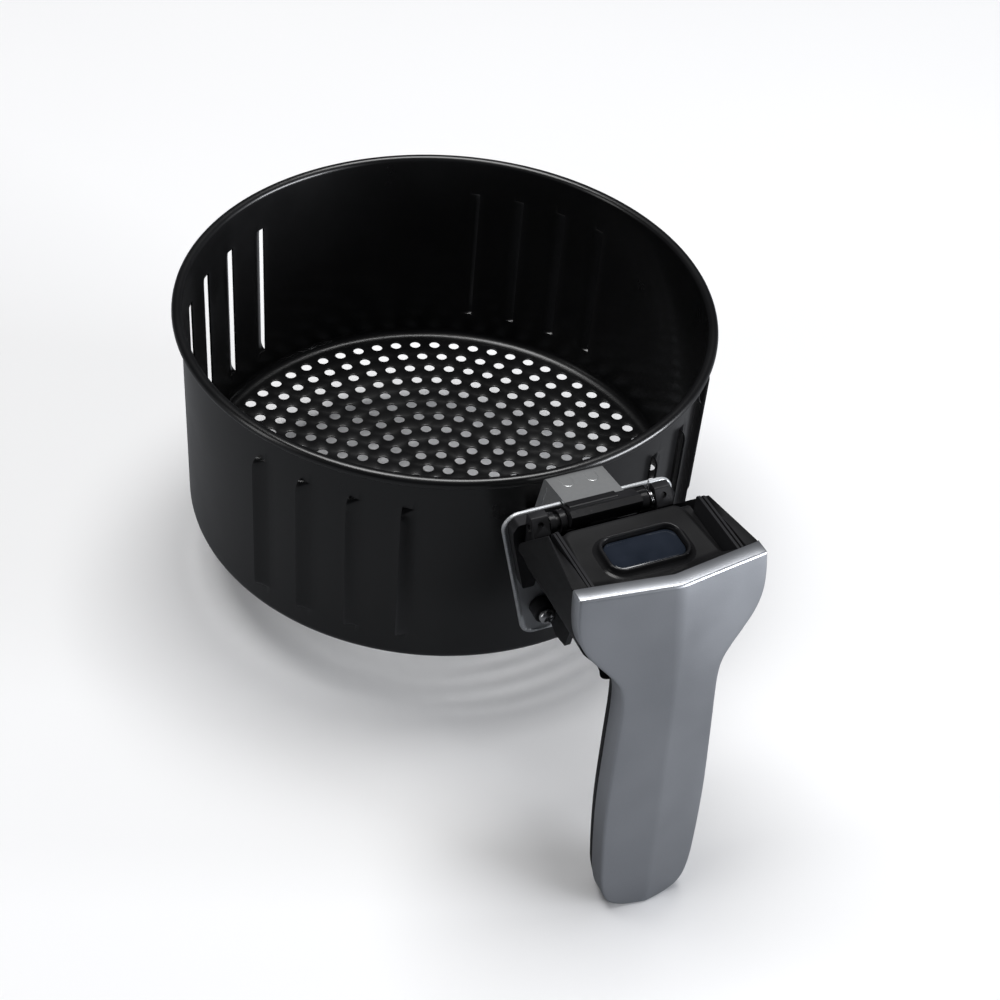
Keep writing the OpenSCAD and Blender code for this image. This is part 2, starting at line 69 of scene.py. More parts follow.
basket_lo, basket_hi = cad_box("basket")
RIM_R = basket_hi.x
BEAD_R = 2.2
RIM_Z = basket_hi.z - BEAD_R
SHEET = 0.8
BEAD_MID = RIM_R - BEAD_R
WALL_R = BEAD_MID - BEAD_R + 0.1 + SHEET
CORNER_R = 5.0
plate_lo, plate_hi = cad_box("mounting_plate")
PLATE_OUT = plate_lo.y
PIN_OUT = (cad_box("lever_pin")[0].y + cad_box("lever_pin")[1].y) / 2
PIN_Z = (cad_box("lever_pin")[0].z + cad_box("lever_pin")[1].z) / 2
COVER_LO, COVER_HI = cad_box("front_cover")
COVER_TOP = COVER_HI.z
GRIP_END = COVER_LO.z
TRAY_Z = RIM_Z + 17.5
BUTTON_OUT = (cad_box("release_button")[0].y + cad_box("release_button")[1].y) / 2
BUTTON_L, BUTTON_W = 26.4, 13.2
BUSH_X, BUSH_Z = 14.5, RIM_Z - 38.5
EAR_SCREW_X, EAR_SCREW_Z = 24.0, RIM_Z + 1
HEAD_SCREW_X, HEAD_SCREWS_Z = 5, (RIM_Z - 14, RIM_Z - 42)
GRIP_SCREWS_Z = (70, 22, -14)
FACET = math.tan(math.radians(8.2))


# ---------------------------------------------------------------- mesh helpers


def at(x, out, z):
    return Vector((x, -out, z))


def lerp(a, b, t):
    return a + (b - a) * t


def from_rim(points):
    """Outline whose heights are counted from the middle of the rolled rim."""
    return [(a, RIM_Z + b) for a, b in points]


def from_pin(points):
    """Outline in (out, z) counted from the lever's pin."""
    return [(PIN_OUT + a, PIN_Z + b) for a, b in points]


def smooth(a, b, v):
    t = min(max((v - a) / (b - a), 0.0), 1.0)
    return t * t * (3 - 2 * t)


def new_object(name, verts, faces, smooth_angle=35):
    mesh = bpy.data.meshes.new(name)
    mesh.from_pydata([Vector(v) * MM for v in verts], [], faces)
    bm = bmesh.new()
    bm.from_mesh(mesh)
    bmesh.ops.remove_doubles(bm, verts=bm.verts, dist=1e-6)
    bmesh.ops.recalc_face_normals(bm, faces=bm.faces)
    bm.to_mesh(mesh)
    bm.free()
    mesh.shade_smooth()
    mesh.set_sharp_from_angle(angle=math.radians(smooth_angle))
    obj = bpy.data.objects.new(name, mesh)
    bpy.context.scene.collection.objects.link(obj)
    return obj


def bake_modifiers(obj):
    graph = bpy.context.evaluated_depsgraph_get()
    mesh = bpy.data.meshes.new_from_object(obj.evaluated_get(graph))
    obj.modifiers.clear()
    obj.data = mesh
    return obj


def boolean(obj, others, operation):
    for other in others:
        mod = obj.modifiers.new(operation, "BOOLEAN")
        mod.operation = operation
        mod.solver = "EXACT"
        mod.object = other
        bake_modifiers(obj)
        bpy.data.objects.remove(other)
    return obj


def union(obj, others):
    return boolean(obj, others, "UNION")


def cut(obj, others):
    return boolean(obj, others, "DIFFERENCE")


def sharpen(obj, angle):
    """Smooth shading, except over edges steeper than the angle."""
    obj.data.set_sharp_from_angle(angle=math.radians(angle))


def soften(obj, width, segments=3):
    """Rounded edges, with shading that stays flat on the flats."""
    bm = bmesh.new()
    bm.from_mesh(obj.data)
    bmesh.ops.remove_doubles(bm, verts=bm.verts, dist=1e-6)
    bmesh.ops.dissolve_limit(bm, angle_limit=math.radians(0.5), verts=bm.verts, edges=bm.edges)
    bm.to_mesh(obj.data)
    bm.free()
    mod = obj.modifiers.new("round", "BEVEL")
    mod.width = width * MM
    mod.segments = segments
    mod.limit_method = "ANGLE"
    mod.angle_limit = math.radians(30)
    mod.harden_normals = True
    mod.use_clamp_overlap = True
    bake_modifiers(obj)
    return obj


def finish_piece(obj, body, cad=(), material=None):
    """Puts a finished mesh on its body, in place of its CAD nodes, with its finish."""
    obj.data.materials.clear()
    obj.data.materials.append(material)
    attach(obj, body)
    if cad:
        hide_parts(*cad)
    return obj


def prism(outline, lo, hi, plane):
    """Closed prism. across: outline is (out, z) from x = lo to hi; facing: (x, z) from out = lo
    to hi; flat: (x, out) from z = lo to hi."""
    place = {
        "across": lambda p, d: at(d, p[0], p[1]),
        "facing": lambda p, d: at(p[0], d, p[1]),
        "flat": lambda p, d: at(p[0], p[1], d),
    }[plane]
    n = len(outline)
    verts = [place(p, d) for d in (lo, hi) for p in outline]
    faces = [list(range(n)), list(range(n, 2 * n))]
    faces += [[i, (i + 1) % n, n + (i + 1) % n, n + i] for i in range(n)]
    return new_object("prism", verts, faces)


def arc(cx, cz, r, a0, a1, n):
    turns = [math.radians(lerp(a0, a1, i / n)) for i in range(n + 1)]
    return [(cx + r * math.cos(a), cz + r * math.sin(a)) for a in turns]


def disc(a, b, r, lo, hi, plane="facing", sides=32):
    """Closed round prism about (a, b) of the plane."""
    return prism(arc(a, b, r, 0, 360 - 360 / sides, sides - 1), lo, hi, plane)


def circle(r, sides):
    """Points (u, v) evenly round a circle."""
    turns = [2 * math.pi * k / sides for k in range(sides)]
    return [(r * math.cos(a), r * math.sin(a)) for a in turns]


def rounded_polygon(points, radii, steps=6):
    """Polygon with filleted corners; radii is one number or one per corner."""
    count = len(points)
    result = []
    for i in range(count):
        r = radii[i] if isinstance(radii, (list, tuple)) else radii
        p = Vector(points[i])
        a = (Vector(points[i - 1]) - p).normalized()
        b = (Vector(points[(i + 1) % count]) - p).normalized()
        if r <= 0:
            result.append(tuple(p))
            continue
        half = a.angle(b) / 2
        length = r / math.tan(half)
        start, end = p + a * length, p + b * length
        centre = p + (a + b).normalized() * (r / math.sin(half))
        u, v = start - centre, end - centre
        sweep = u.angle(v)
        for k in range(steps + 1):
            t = k / steps
            w = (math.sin((1 - t) * sweep) * u + math.sin(t * sweep) * v) / math.sin(sweep)
            result.append(tuple(centre + w))
    return result


def button_outline(grow, r, grow_across=None, steps=10):
    """Rounded box round the button, as (x, out), larger than the button by grow."""
    a = (BUTTON_L + grow) / 2
    b = (BUTTON_W + (grow if grow_across is None else grow_across)) / 2
    corners = [(-a, BUTTON_OUT - b), (a, BUTTON_OUT - b), (a, BUTTON_OUT + b), (-a, BUTTON_OUT + b)]
    return rounded_polygon(corners, r, steps)


def inset_loop(loop, amount):
    """Moves a closed 2-D loop inwards along its vertex normals, whichever way it runs."""
    n = len(loop)
    area = sum(loop[i - 1][0] * loop[i][1] - loop[i][0] * loop[i - 1][1] for i in range(n))
    sign = 1 if area > 0 else -1
    moved = []
    for i in range(n):
        before = (Vector(loop[i]) - Vector(loop[i - 1])).normalized()
        after = (Vector(loop[(i + 1) % n]) - Vector(loop[i])).normalized()
        normal = Vector((-before.y - after.y, before.x + after.x)) * sign
        scale = amount / max(normal.normalized().dot(Vector((-before.y, before.x)) * sign), 0.35)
        moved.append(tuple(Vector(loop[i]) + normal.normalized() * scale))
    return moved


def ringed(name, loops, angle=35, closed=False):
    """Skin over closed loops of equal length; the first and last are capped, or joined if closed."""
    n = len(loops[0])
    verts = [p for loop in loops for p in loop]
    faces = []
    for i in range(len(loops) if closed else len(loops) - 1):
        a, b = i * n, ((i + 1) % len(loops)) * n
        faces += [[a + k, a + (k + 1) % n, b + (k + 1) % n, b + k] for k in range(n)]
    if not closed:
        faces += [list(range(n)), [(len(loops) - 1) * n + k for k in range(n)]]
    return new_object(name, verts, faces, angle)


def lathe(name, profile, segments, place, closed=False):
    """Turns an (r, h) profile, whose ends may lie on the axis, and puts it with place(u, v, h)."""
    loops = [[place(u, v, h) for u, v in circle(r, segments)] for r, h in profile]
    return ringed(name, loops, closed=closed)


def out_axis(x, z, seat):
    """Placement of a lathe whose height runs towards the handle from out = seat."""
    return lambda u, v, h: at(x + u, seat + h, z + v)


def up_axis(x, out, base):
    return lambda u, v, h: at(x + u, out + v, base + h)


def tube(name, path, radius, sides=12):
    """Round wire along a path of points, with flat ground ends."""
    points = [Vector(p) for p in path]
    loops = []
    side = None
    for i, p in enumerate(points):
        ahead = (points[min(i + 1, len(points) - 1)] - points[max(i - 1, 0)]).normalized()
        if side is None:
            side = ahead.orthogonal().normalized()
        side = (side - ahead * side.dot(ahead)).normalized()
        other = ahead.cross(side)
        loops.append([p + u * side + v * other for u, v in circle(radius, sides)])
    return ringed(name, loops)


def joined(name, objects):
    """One mesh object from several."""
    bm = bmesh.new()
    for o in objects:
        bm.from_mesh(o.data)
    mesh = bpy.data.meshes.new(name)
    bm.to_mesh(mesh)
    bm.free()
    for o in objects:
        bpy.data.objects.remove(o)
    obj = bpy.data.objects.new(name, mesh)
    bpy.context.scene.collection.objects.link(obj)
    return obj


# ---------------------------------------------------------------- materials


class Nodes:
    """Short way to write a node tree."""

    def __init__(self, name):
        self.material = bpy.data.materials.new(name)
        self.material.use_nodes = True
        self.tree = self.material.node_tree
        self.shader = self.tree.nodes["Principled BSDF"]
        self.coords = self.add("ShaderNodeTexCoord").outputs["Object"]

    def add(self, kind, **settings):
        node = self.tree.nodes.new(kind)
        for key, value in settings.items():
            setattr(node, key, value)
        return node

    def link(self, a, b):
        self.tree.links.new(a, b)

    def scaled(self, scale):
        node = self.add("ShaderNodeMapping")
        node.inputs["Scale"].default_value = scale
        self.link(self.coords, node.inputs["Vector"])
        return node.outputs["Vector"]

    def noise(self, scale, detail=3.0, rough=0.5, stretch=None):
        node = self.add("ShaderNodeTexNoise")
        node.inputs["Scale"].default_value = scale
        node.inputs["Detail"].default_value = detail
        node.inputs["Roughness"].default_value = rough
        self.link(self.scaled(stretch) if stretch else self.coords, node.inputs["Vector"])
        return node.outputs["Fac"]

    def voronoi(self, scale, randomness=1.0):
        node = self.add("ShaderNodeTexVoronoi")
        node.inputs["Scale"].default_value = scale
        node.inputs["Randomness"].default_value = randomness
        self.link(self.coords, node.inputs["Vector"])
        return node.outputs["Distance"]

    def span(self, value, low, high, to_low, to_high):
        node = self.add("ShaderNodeMapRange")
        node.inputs["From Min"].default_value = low
        node.inputs["From Max"].default_value = high
        node.inputs["To Min"].default_value = to_low
        node.inputs["To Max"].default_value = to_high
        self.link(value, node.inputs["Value"])
        return node.outputs["Result"]

    def mix(self, fac, a, b):
        node = self.add("ShaderNodeMix", data_type="RGBA")
        self.link(fac, node.inputs["Factor"])
        for value, socket in ((a, node.inputs[6]), (b, node.inputs[7])):
            if isinstance(value, tuple):
                socket.default_value = (*value, 1)
            else:
                self.link(value, socket)
        return node.outputs[2]

    def bump(self, height, strength, distance_mm, after=None):
        node = self.add("ShaderNodeBump")
        node.inputs["Strength"].default_value = strength
        node.inputs["Distance"].default_value = distance_mm * MM
        self.link(height, node.inputs["Height"])
        if after is not None:
            self.link(after, node.inputs["Normal"])
        return node.outputs["Normal"]

    def blend(self, value, low, high, a, b, most=1.0):
        """Colour a, turning into b by as much as most while the value goes from low to high."""
        return self.mix(self.span(value, low, high, 0.0, most), a, b)

    def lit_edges(self, colour, low, high, share, edge_light):
        """A colour that turns into a lighter one along convex edges: a painted edge highlight."""
        edges = self.add("ShaderNodeNewGeometry").outputs["Pointiness"]
        return self.blend(edges, low, high, colour, edge_light, share)

    def set(self, **values):
        for key, value in values.items():
            socket = self.shader.inputs[key.replace("_", " ")]
            if isinstance(value, (int, float, tuple)):
                socket.default_value = (*value, 1) if isinstance(value, tuple) else value
            else:
                self.link(value, socket)
        return self.material


def coated_steel():
    n = Nodes("non_stick_coating")
    cloud = n.noise(28, 4)
    speck = n.noise(1500, 2)
    colour = n.blend(cloud, 0.35, 0.7, (0.0035, 0.0035, 0.0038), (0.0062, 0.0063, 0.0068))
    # Painted highlight: convex edges such as the rolled rim turn a lighter grey.
    colour = n.lit_edges(colour, 0.52, 0.6, 0.35, (0.03, 0.03, 0.032))
    grain = n.bump(speck, 0.10, 0.02)
    waves = n.bump(n.noise(22, 2), 0.03, 0.05, grain)
    return n.set(
        Base_Color=colour, Roughness=n.span(cloud, 0.3, 0.7, 0.27, 0.36), Normal=waves,
        Specular_IOR_Level=0.5, Coat_Weight=0.25, Coat_Roughness=0.12,
    )


def bracket_steel():
    n = Nodes("stainless_sheet")
    smear = n.noise(70, 5, 0.6)
    lines = n.noise(300, 3, 0.6, (0.35, 6.0, 0.35))
    colour = n.blend(smear, 0.35, 0.7, (0.66, 0.67, 0.67), (0.40, 0.41, 0.42))
    normal = n.bump(lines, 0.15, 0.03)
    normal = n.bump(n.noise(900, 2), 0.12, 0.03, normal)
    return n.set(
        Base_Color=colour, Metallic=0.8, Roughness=n.span(smear, 0.3, 0.7, 0.30, 0.46), Normal=normal
    )


def plate_steel():
    n = Nodes("knurled_plate")
    dots = n.voronoi(900, 0.0)
    smear = n.noise(60, 4)
    colour = n.blend(smear, 0.35, 0.7, (0.72, 0.74, 0.75), (0.50, 0.52, 0.54))
    colour = n.blend(dots, 0.15, 0.5, colour, (0.30, 0.31, 0.33), 0.4)
    normal = n.bump(dots, 0.55, 0.12)
    return n.set(
        Base_Color=colour, Metallic=0.5, Roughness=n.span(smear, 0.3, 0.7, 0.36, 0.5), Normal=normal
    )


def fastener_steel(name="zinc_plated", dark=0.62):
    n = Nodes(name)
    smear = n.noise(400, 4)
    dull = (dark * 0.7, dark * 0.7, dark * 0.72)
    colour = n.blend(smear, 0.3, 0.7, (dark, dark, dark * 1.01), dull)
    normal = n.bump(n.noise(2500, 2), 0.15, 0.02)
    return n.set(
        Base_Color=colour, Metallic=1.0, Roughness=n.span(smear, 0.3, 0.7, 0.16, 0.32), Normal=normal
    )


def black_plastic(name="moulded_black", base=0.0085, low=0.34, high=0.46):
    n = Nodes(name)
    cloud = n.noise(45, 4)
    faded = (base * 1.7, base * 1.7, base * 1.8)
    colour = n.blend(cloud, 0.3, 0.7, (base, base, base * 1.06), faded)
    # Painted highlight: convex edges turn a lighter grey.
    colour = n.lit_edges(colour, 0.52, 0.6, 0.5, (base * 4, base * 4, base * 4.4))
    grain = n.bump(n.voronoi(3200), 0.22, 0.03)
    normal = n.bump(n.noise(160, 2), 0.06, 0.1, grain)
    return n.set(
        Base_Color=colour, Roughness=n.span(cloud, 0.3, 0.7, low, high), Normal=normal,
        Specular_IOR_Level=0.22,
    )


def button_plastic():
    n = Nodes("gloss_button")
    cloud = n.noise(90, 3)
    colour = n.blend(cloud, 0.3, 0.7, (0.010, 0.014, 0.022), (0.018, 0.023, 0.034))
    normal = n.bump(n.noise(220, 2), 0.03, 0.1)
    return n.set(
        Base_Color=colour, Roughness=n.span(n.noise(700, 3), 0.3, 0.7, 0.06, 0.13), Normal=normal,
        Coat_Weight=0.6, Coat_Roughness=0.05,
    )


def silver_paint():
    n = Nodes("metallic_paint")
    flakes = n.noise(5200, 2)
    cloud = n.noise(35, 3)
    colour = n.blend(cloud, 0.3, 0.7, (0.54, 0.56, 0.595), (0.58, 0.60, 0.635))
    colour = n.blend(flakes, 0.55, 0.8, colour, (0.72, 0.74, 0.80), 0.5)
    # Painted highlight: convex edges of the cover turn a lighter silver.
    colour = n.lit_edges(colour, 0.53, 0.62, 0.45, (0.80, 0.82, 0.86))
    normal = n.bump(flakes, 0.08, 0.02)
    normal = n.bump(n.noise(90, 2), 0.03, 0.15, normal)
    return n.set(
        Base_Color=colour, Metallic=0.95, Roughness=n.span(cloud, 0.3, 0.7, 0.32, 0.38), Normal=normal,
        Coat_Weight=0.15, Coat_Roughness=0.25,
    )


COATING = coated_steel()
BRACKET = bracket_steel()
PLATE = plate_steel()
FASTENER = fastener_steel()
SPRING_WIRE = fastener_steel("spring_wire", 0.55)
BLACK = black_plastic()
BLACK_GRIP = black_plastic("moulded_grip", 0.006, 0.38, 0.5)
BLACK_GLOSS = black_plastic("moulded_satin", 0.009, 0.20, 0.30)
GLOSS = button_plastic()
SILVER = silver_paint()


# ---------------------------------------------------------------- basket

HOLE_RINGS, RING_PITCH, HOLE_R = 11, 8.4, 2.3
LOUVRE_STEP, LOUVRE_W, LOUVRE_OUT = 11.0, 5.6, 2.9
LOUVRE_LOW, LOUVRE_HIGH = 13.5, 77.5
LOUVRE_END = 4.0
FLOOR_R = 96.0


def louvre_edges():
    """Angles of the free edges, counted from the handle; every louvre opens the same way round."""
    first = -47.5 + 1.5 * LOUVRE_STEP
    return sorted(90 * quarter + first - i * LOUVRE_STEP for quarter in range(4) for i in range(4))


def wall_columns():
    """(angle, mark) all round. A mark is (louvre, share of its width), from 0 at the bend to 1 at the
    free edge, or None between the louvres."""
    width = math.degrees(LOUVRE_W / WALL_R)
    steps = 7
    marks = {}
    for index, edge in enumerate(louvre_edges()):
        for k in range(steps + 1):
            angle = edge + width * (1 - k / steps)
            marks[round(angle % 360, 4)] = (index, k / steps)
    angles = sorted(marks)
    full = []
    for i, a in enumerate(angles):
        b = angles[(i + 1) % len(angles)] + (360 if i + 1 == len(angles) else 0)
        full.append(a)
        extra = max(int(math.ceil((b - a) / 1.6)), 1)
        if marks[a][0] != marks[round(b % 360, 4)][0]:
            full += [a + (b - a) * k / extra for k in range(1, extra)]
    return [(a, marks.get(round(a % 360, 4))) for a in full]


def shell_path():
    """Middle of the sheet from the floor's edge to the end of the rolled rim, as (r, z)."""
    mid = WALL_R - SHEET / 2
    bend = CORNER_R - SHEET / 2
    path = [(FLOOR_R, SHEET / 2)]
    path += arc(mid - bend, SHEET / 2 + bend, bend, -90, 0, 12)
    ends = [0, 0.3, 0.8, 1.5, 2.4, LOUVRE_END, 5.2]
    rows = [9.0] + [LOUVRE_LOW + e for e in ends]
    inner = 14
    low, high = LOUVRE_LOW + ends[-1], LOUVRE_HIGH - ends[-1]
    rows += [lerp(low, high, k / inner) for k in range(1, inner)]
    rows += [LOUVRE_HIGH - e for e in reversed(ends)] + [82.0, 87.0]
    path += [(mid, z) for z in rows]
    roll = BEAD_MID - mid
    path += arc(BEAD_MID, RIM_Z, roll, 180, -140, 30)
    return path


def louvre_lift(share, z):
    if z <= LOUVRE_LOW or z >= LOUVRE_HIGH:
        return 0.0
    end = min(z - LOUVRE_LOW, LOUVRE_HIGH - z) / LOUVRE_END
    dome = math.sqrt(max(1 - (1 - min(end, 1)) ** 2, 0))
    return LOUVRE_OUT * dome * (0.35 * share + 0.65 * share**2)


def basket_shell():
    columns, path = wall_columns(), shell_path()
    n = len(columns)
    verts, faces, index = [], [], {}

    def vertex(skin, row, col, lift):
        key = (skin, row, col % n, round(lift, 5))
        if key not in index:
            r, z = path[row]
            ahead = Vector(path[min(row + 1, len(path) - 1)]) - Vector(path[max(row - 1, 0)])
            normal = Vector((ahead.y, -ahead.x)).normalized() * (SHEET / 2)
            if row == 0:
                normal = Vector((0, -SHEET / 2))
            r, z = Vector((r, z)) + (normal if skin == 0 else -normal)
            a = math.radians(columns[col % n][0])
            r += lift
            index[key] = len(verts)
            verts.append(Vector((r * math.sin(a), -r * math.cos(a), z)))
        return index[key]

    def lift_of(cell, col, row):
        """Lift of a column's row as seen from a cell: only a cell inside a louvre is lifted."""
        mark = columns[col % n][1]
        if cell is None or mark is None or mark[0] != cell:
            return 0.0
        return louvre_lift(mark[1], path[row][1])

    for col in range(n):
        here, there = columns[col][1], columns[(col + 1) % n][1]
        cell = here[0] if here and there and here[0] == there[0] else None
        for row in range(len(path) - 1):
            for skin in (0, 1):
                faces.append([
                    vertex(skin, row, col, lift_of(cell, col, row)),
                    vertex(skin, row, col + 1, lift_of(cell, col + 1, row)),
                    vertex(skin, row + 1, col + 1, lift_of(cell, col + 1, row + 1)),
                    vertex(skin, row + 1, col, lift_of(cell, col, row + 1)),
                ])
            for edge in (col, col + 1):
                mark = columns[edge % n][1]
                on_slit = mark is not None and mark[1] == 1.0
                touches = louvre_lift(1.0, path[row][1]) + louvre_lift(1.0, path[row + 1][1]) > 0
                if on_slit and touches:
                    faces.append([
                        vertex(0, row, edge, lift_of(cell, edge, row)),
                        vertex(1, row, edge, lift_of(cell, edge, row)),
                        vertex(1, row + 1, edge, lift_of(cell, edge, row + 1)),
                        vertex(0, row + 1, edge, lift_of(cell, edge, row + 1)),
                    ])
        last = len(path) - 1
        faces.append([vertex(0, last, col, 0), vertex(0, last, col + 1, 0),
                      vertex(1, last, col + 1, 0), vertex(1, last, col, 0)])
    return verts, faces, [math.radians(c[0]) for c in columns]


def hole_centres():
    centres = [(0.0, 0.0)]
    for k in range(1, HOLE_RINGS + 1):
        for j in range(6 * k):
            a = 2 * math.pi * j / (6 * k)
            centres.append((k * RING_PITCH * math.sin(a), -k * RING_PITCH * math.cos(a)))
    return centres


def basket_floor(angles):
    """Floor disc with rounded hole edges, meeting the shell's columns."""
    sides, soft = 18, 0.28
    centres = hole_centres()
    points = [Vector((FLOOR_R * math.sin(a), -FLOOR_R * math.cos(a))) for a in angles]
    edges = [(i, (i + 1) % len(angles)) for i in range(len(angles))]
    for cx, cy in centres:
        first = len(points)
        points += [Vector((cx + u, cy + v)) for u, v in circle(HOLE_R + soft, sides)]
        edges += [(first + k, first + (k + 1) % sides) for k in range(sides)]
    flat, _, triangles, *_ = delaunay_2d_cdt(points, edges, [], 0, 1e-5)
    grid = {(round(cx / RING_PITCH), round(cy / RING_PITCH)): [] for cx, cy in centres}
    for c in centres:
        grid[(round(c[0] / RING_PITCH), round(c[1] / RING_PITCH))].append(c)

    def in_hole(p):
        i, j = round(p.x / RING_PITCH), round(p.y / RING_PITCH)
        for a in (-1, 0, 1):
            for b in (-1, 0, 1):
                for cx, cy in grid.get((i + a, j + b), ()):
                    if math.hypot(p.x - cx, p.y - cy) < HOLE_R + soft:
                        return True
        return False

    kept = [t for t in triangles if not in_hole(sum((flat[i] for i in t), Vector((0, 0))) / 3)]
    verts = [Vector((p.x, p.y, z)) for z in (0.0, SHEET) for p in flat]
    faces = [list(t) for t in kept] + [[i + len(flat) for i in t] for t in kept]
    profile = [(soft, 0.0), (0.08, 0.08), (0.0, soft)]
    profile += [(grow, SHEET - z) for grow, z in reversed(profile)]
    for cx, cy in centres:
        base = len(verts)
        for grow, z in profile:
            verts += [Vector((cx + u, cy + v, z)) for u, v in circle(HOLE_R + grow, sides)]
        for i in range(len(profile) - 1):
            for k in range(sides):
                faces.append([base + i * sides + k, base + i * sides + (k + 1) % sides,
                              base + (i + 1) * sides + (k + 1) % sides, base + (i + 1) * sides + k])
    return verts, faces


def basket():
    verts, faces, angles = basket_shell()
    more, extra = basket_floor(angles)
    base = len(verts)
    obj = new_object("basket_shell", verts + more, faces + [[i + base for i in f] for f in extra], 32)
    finish_piece(obj, ROOT, ["basket"], COATING)


basket()


# ---------------------------------------------------------------- bracket and plate

BRACKET_W, BRACKET_T = 21.6, 1.2
BACK = (112.0, RIM_Z + 7.6)
FRONT = (128.5, RIM_Z + 10.2)
KNEE = (107.6, RIM_Z - 9.5)
HEEL = (WALL_R + 0.7, RIM_Z - 15.0)
FOOT = (WALL_R + 0.7, RIM_Z - 32.0)


def thick_path(path, t):
    """Closed outline of a strip of thickness t along an open 2-D path."""
    left, right = [], []
    for i, p in enumerate(path):
        before = Vector(path[i]) - Vector(path[i - 1]) if i else Vector(path[1]) - Vector(path[0])
        after = Vector(path[i + 1]) - Vector(path[i]) if i + 1 < len(path) else before
        a, b = before.normalized(), after.normalized()
        normal = Vector((-a.y - b.y, a.x + b.x)).normalized()
        scale = t / 2 / max(normal.dot(Vector((-a.y, a.x))), 0.5)
        left.append(tuple(Vector(p) + normal * scale))
        right.append(tuple(Vector(p) - normal * scale))
    return left + right[::-1]


def bent(path, radius):
    """Open path with its bends rounded."""
    first, last = Vector(path[0]), Vector(path[-1])
    away = first + (first - Vector(path[1])) * 0.01
    ring = [tuple(away)] + list(path) + [tuple(last + Vector((0, -50))), tuple(first + Vector((0, -50)))]
    radii = [0, 0] + [radius] * (len(path) - 2) + [0, 0, 0]
    rounded = rounded_polygon(ring, radii, 5)
    return rounded[1:-2]


def handle_bracket():
    half = BRACKET_W / 2
    path = bent([FOOT, HEEL, KNEE, BACK, FRONT], 1.6)
    web = prism(thick_path(path, BRACKET_T), -half, half, "across")
    parts = []
    for side in (-1, 1):
        flange = [FOOT, HEEL, KNEE, BACK, (PLATE_OUT - 0.1, FRONT[1] - 1.0), (PLATE_OUT - 0.1, RIM_Z - 8.0),
                  (FOOT[0] + 3, FOOT[1])]
        inner, outer = sorted((side * (half - BRACKET_T), side * half))
        parts.append(prism(flange, inner, outer, "across"))
    obj = union(web, parts)
    # Fold line down each flange, and the two lanced marks in the top
    cutters = []
    for side in (-1, 1):
        line = [(114.2, RIM_Z + 6.2), (110.4, RIM_Z - 10.0)]
        x = side * half
        cutters.append(tube("cut", [at(x, *line[0]), at(x, *line[1])], 0.28, 8))
    slope = (FRONT[1] - BACK[1]) / (FRONT[0] - BACK[0])
    for x in (-4.6, 4.6):
        arm = [(x - 2.0, 114.0), (x - 2.0, 117.2)]
        arm += [(x + 2.0 * math.cos(math.radians(a)), 117.2 + 2.0 * math.sin(math.radians(180 - a)))
                for a in range(160, 0, -20)]
        arm += [(x + 2.0, 117.2), (x + 2.0, 114.0)]
        top = [at(u, out, BACK[1] + slope * (out - BACK[0]) + BRACKET_T / 2 + 0.03) for u, out in arm]
        cutters.append(tube("cut", top, 0.2, 8))
    cut(obj, cutters)
    soften(obj, 0.22, 2)
    obj.name = "bracket_channel"
    finish_piece(obj, ROOT, ["handle_bracket"], BRACKET)
    # Spot welds on the bracket's foot, seen through its open sides
    welds = [lathe("weld", [(0.0, 0.25), (1.2, 0.2), (1.9, 0.0), (1.9, -0.3), (0.0, -0.3)][::-1], 20,
                   out_axis(x, RIM_Z - z, FOOT[0] + BRACKET_T / 2)) for x in (-5.5, 5.5) for z in (20, 28)]
    finish_piece(joined("bracket_welds", welds), ROOT, [], BRACKET)


def plate_outline(inset):
    """The plate, whose rolled top edge lies a little below the top of the CAD plate."""
    top, low = plate_hi.z - 1.8, plate_lo.z
    loop = rounded_polygon([(-20, low), (20, low), (33.5, top), (-33.5, top)], 6.0, 10)
    return inset_loop(loop, inset) if inset else loop


def mounting_plate():
    profile = [(1.9, 0.0), (0.4, 0.0), (0.0, 0.3), (0.0, 1.1), (0.2, 1.45), (0.6, 1.6), (1.0, 1.5),
               (1.35, 1.2), (1.75, 1.02), (2.1, 1.0)]
    loops = [[at(x, PLATE_OUT + d, z) for x, z in plate_outline(inset)] for inset, d in profile]
    obj = ringed("plate", loops, angle=50)
    cutters = [prism([(-10.9, RIM_Z), (10.9, RIM_Z), (10.9, RIM_Z + 30), (-10.9, RIM_Z + 30)],
                     PLATE_OUT - 2, PLATE_OUT + 4, "facing")]
    for side in (-1, 1):
        holes = [(BUSH_X, BUSH_Z, 1.8), (EAR_SCREW_X, EAR_SCREW_Z, 1.6)]
        holes += [(HEAD_SCREW_X, z, 1.8) for z in HEAD_SCREWS_Z]
        cutters += [disc(side * x, z, r, PLATE_OUT - 2, PLATE_OUT + 3, sides=24) for x, z, r in holes]
    cut(obj, cutters)
    sharpen(obj, 50)
    obj.name = "plate_with_rolled_edge"
    finish_piece(obj, ROOT, ["mounting_plate"], PLATE)


handle_bracket()
mounting_plate()


# ---------------------------------------------------------------- screws, bushes, pin


def cross_recess(x, z, seat, size, depth=1.1):
    """Two tapered bars that cut a cross recess into a head facing the handle."""
    w = size * 0.26
    bars = []
    for a in (20, 110):
        c, s = math.cos(math.radians(a)), math.sin(math.radians(a))
        loop = [(-size / 2, -w / 2), (size / 2, -w / 2), (size / 2, w / 2), (-size / 2, w / 2)]
        turned = [(x + p * c - q * s, z + p * s + q * c) for p, q in loop]
        bars.append(prism(turned, seat - depth, seat + 1, "facing"))
    return bars


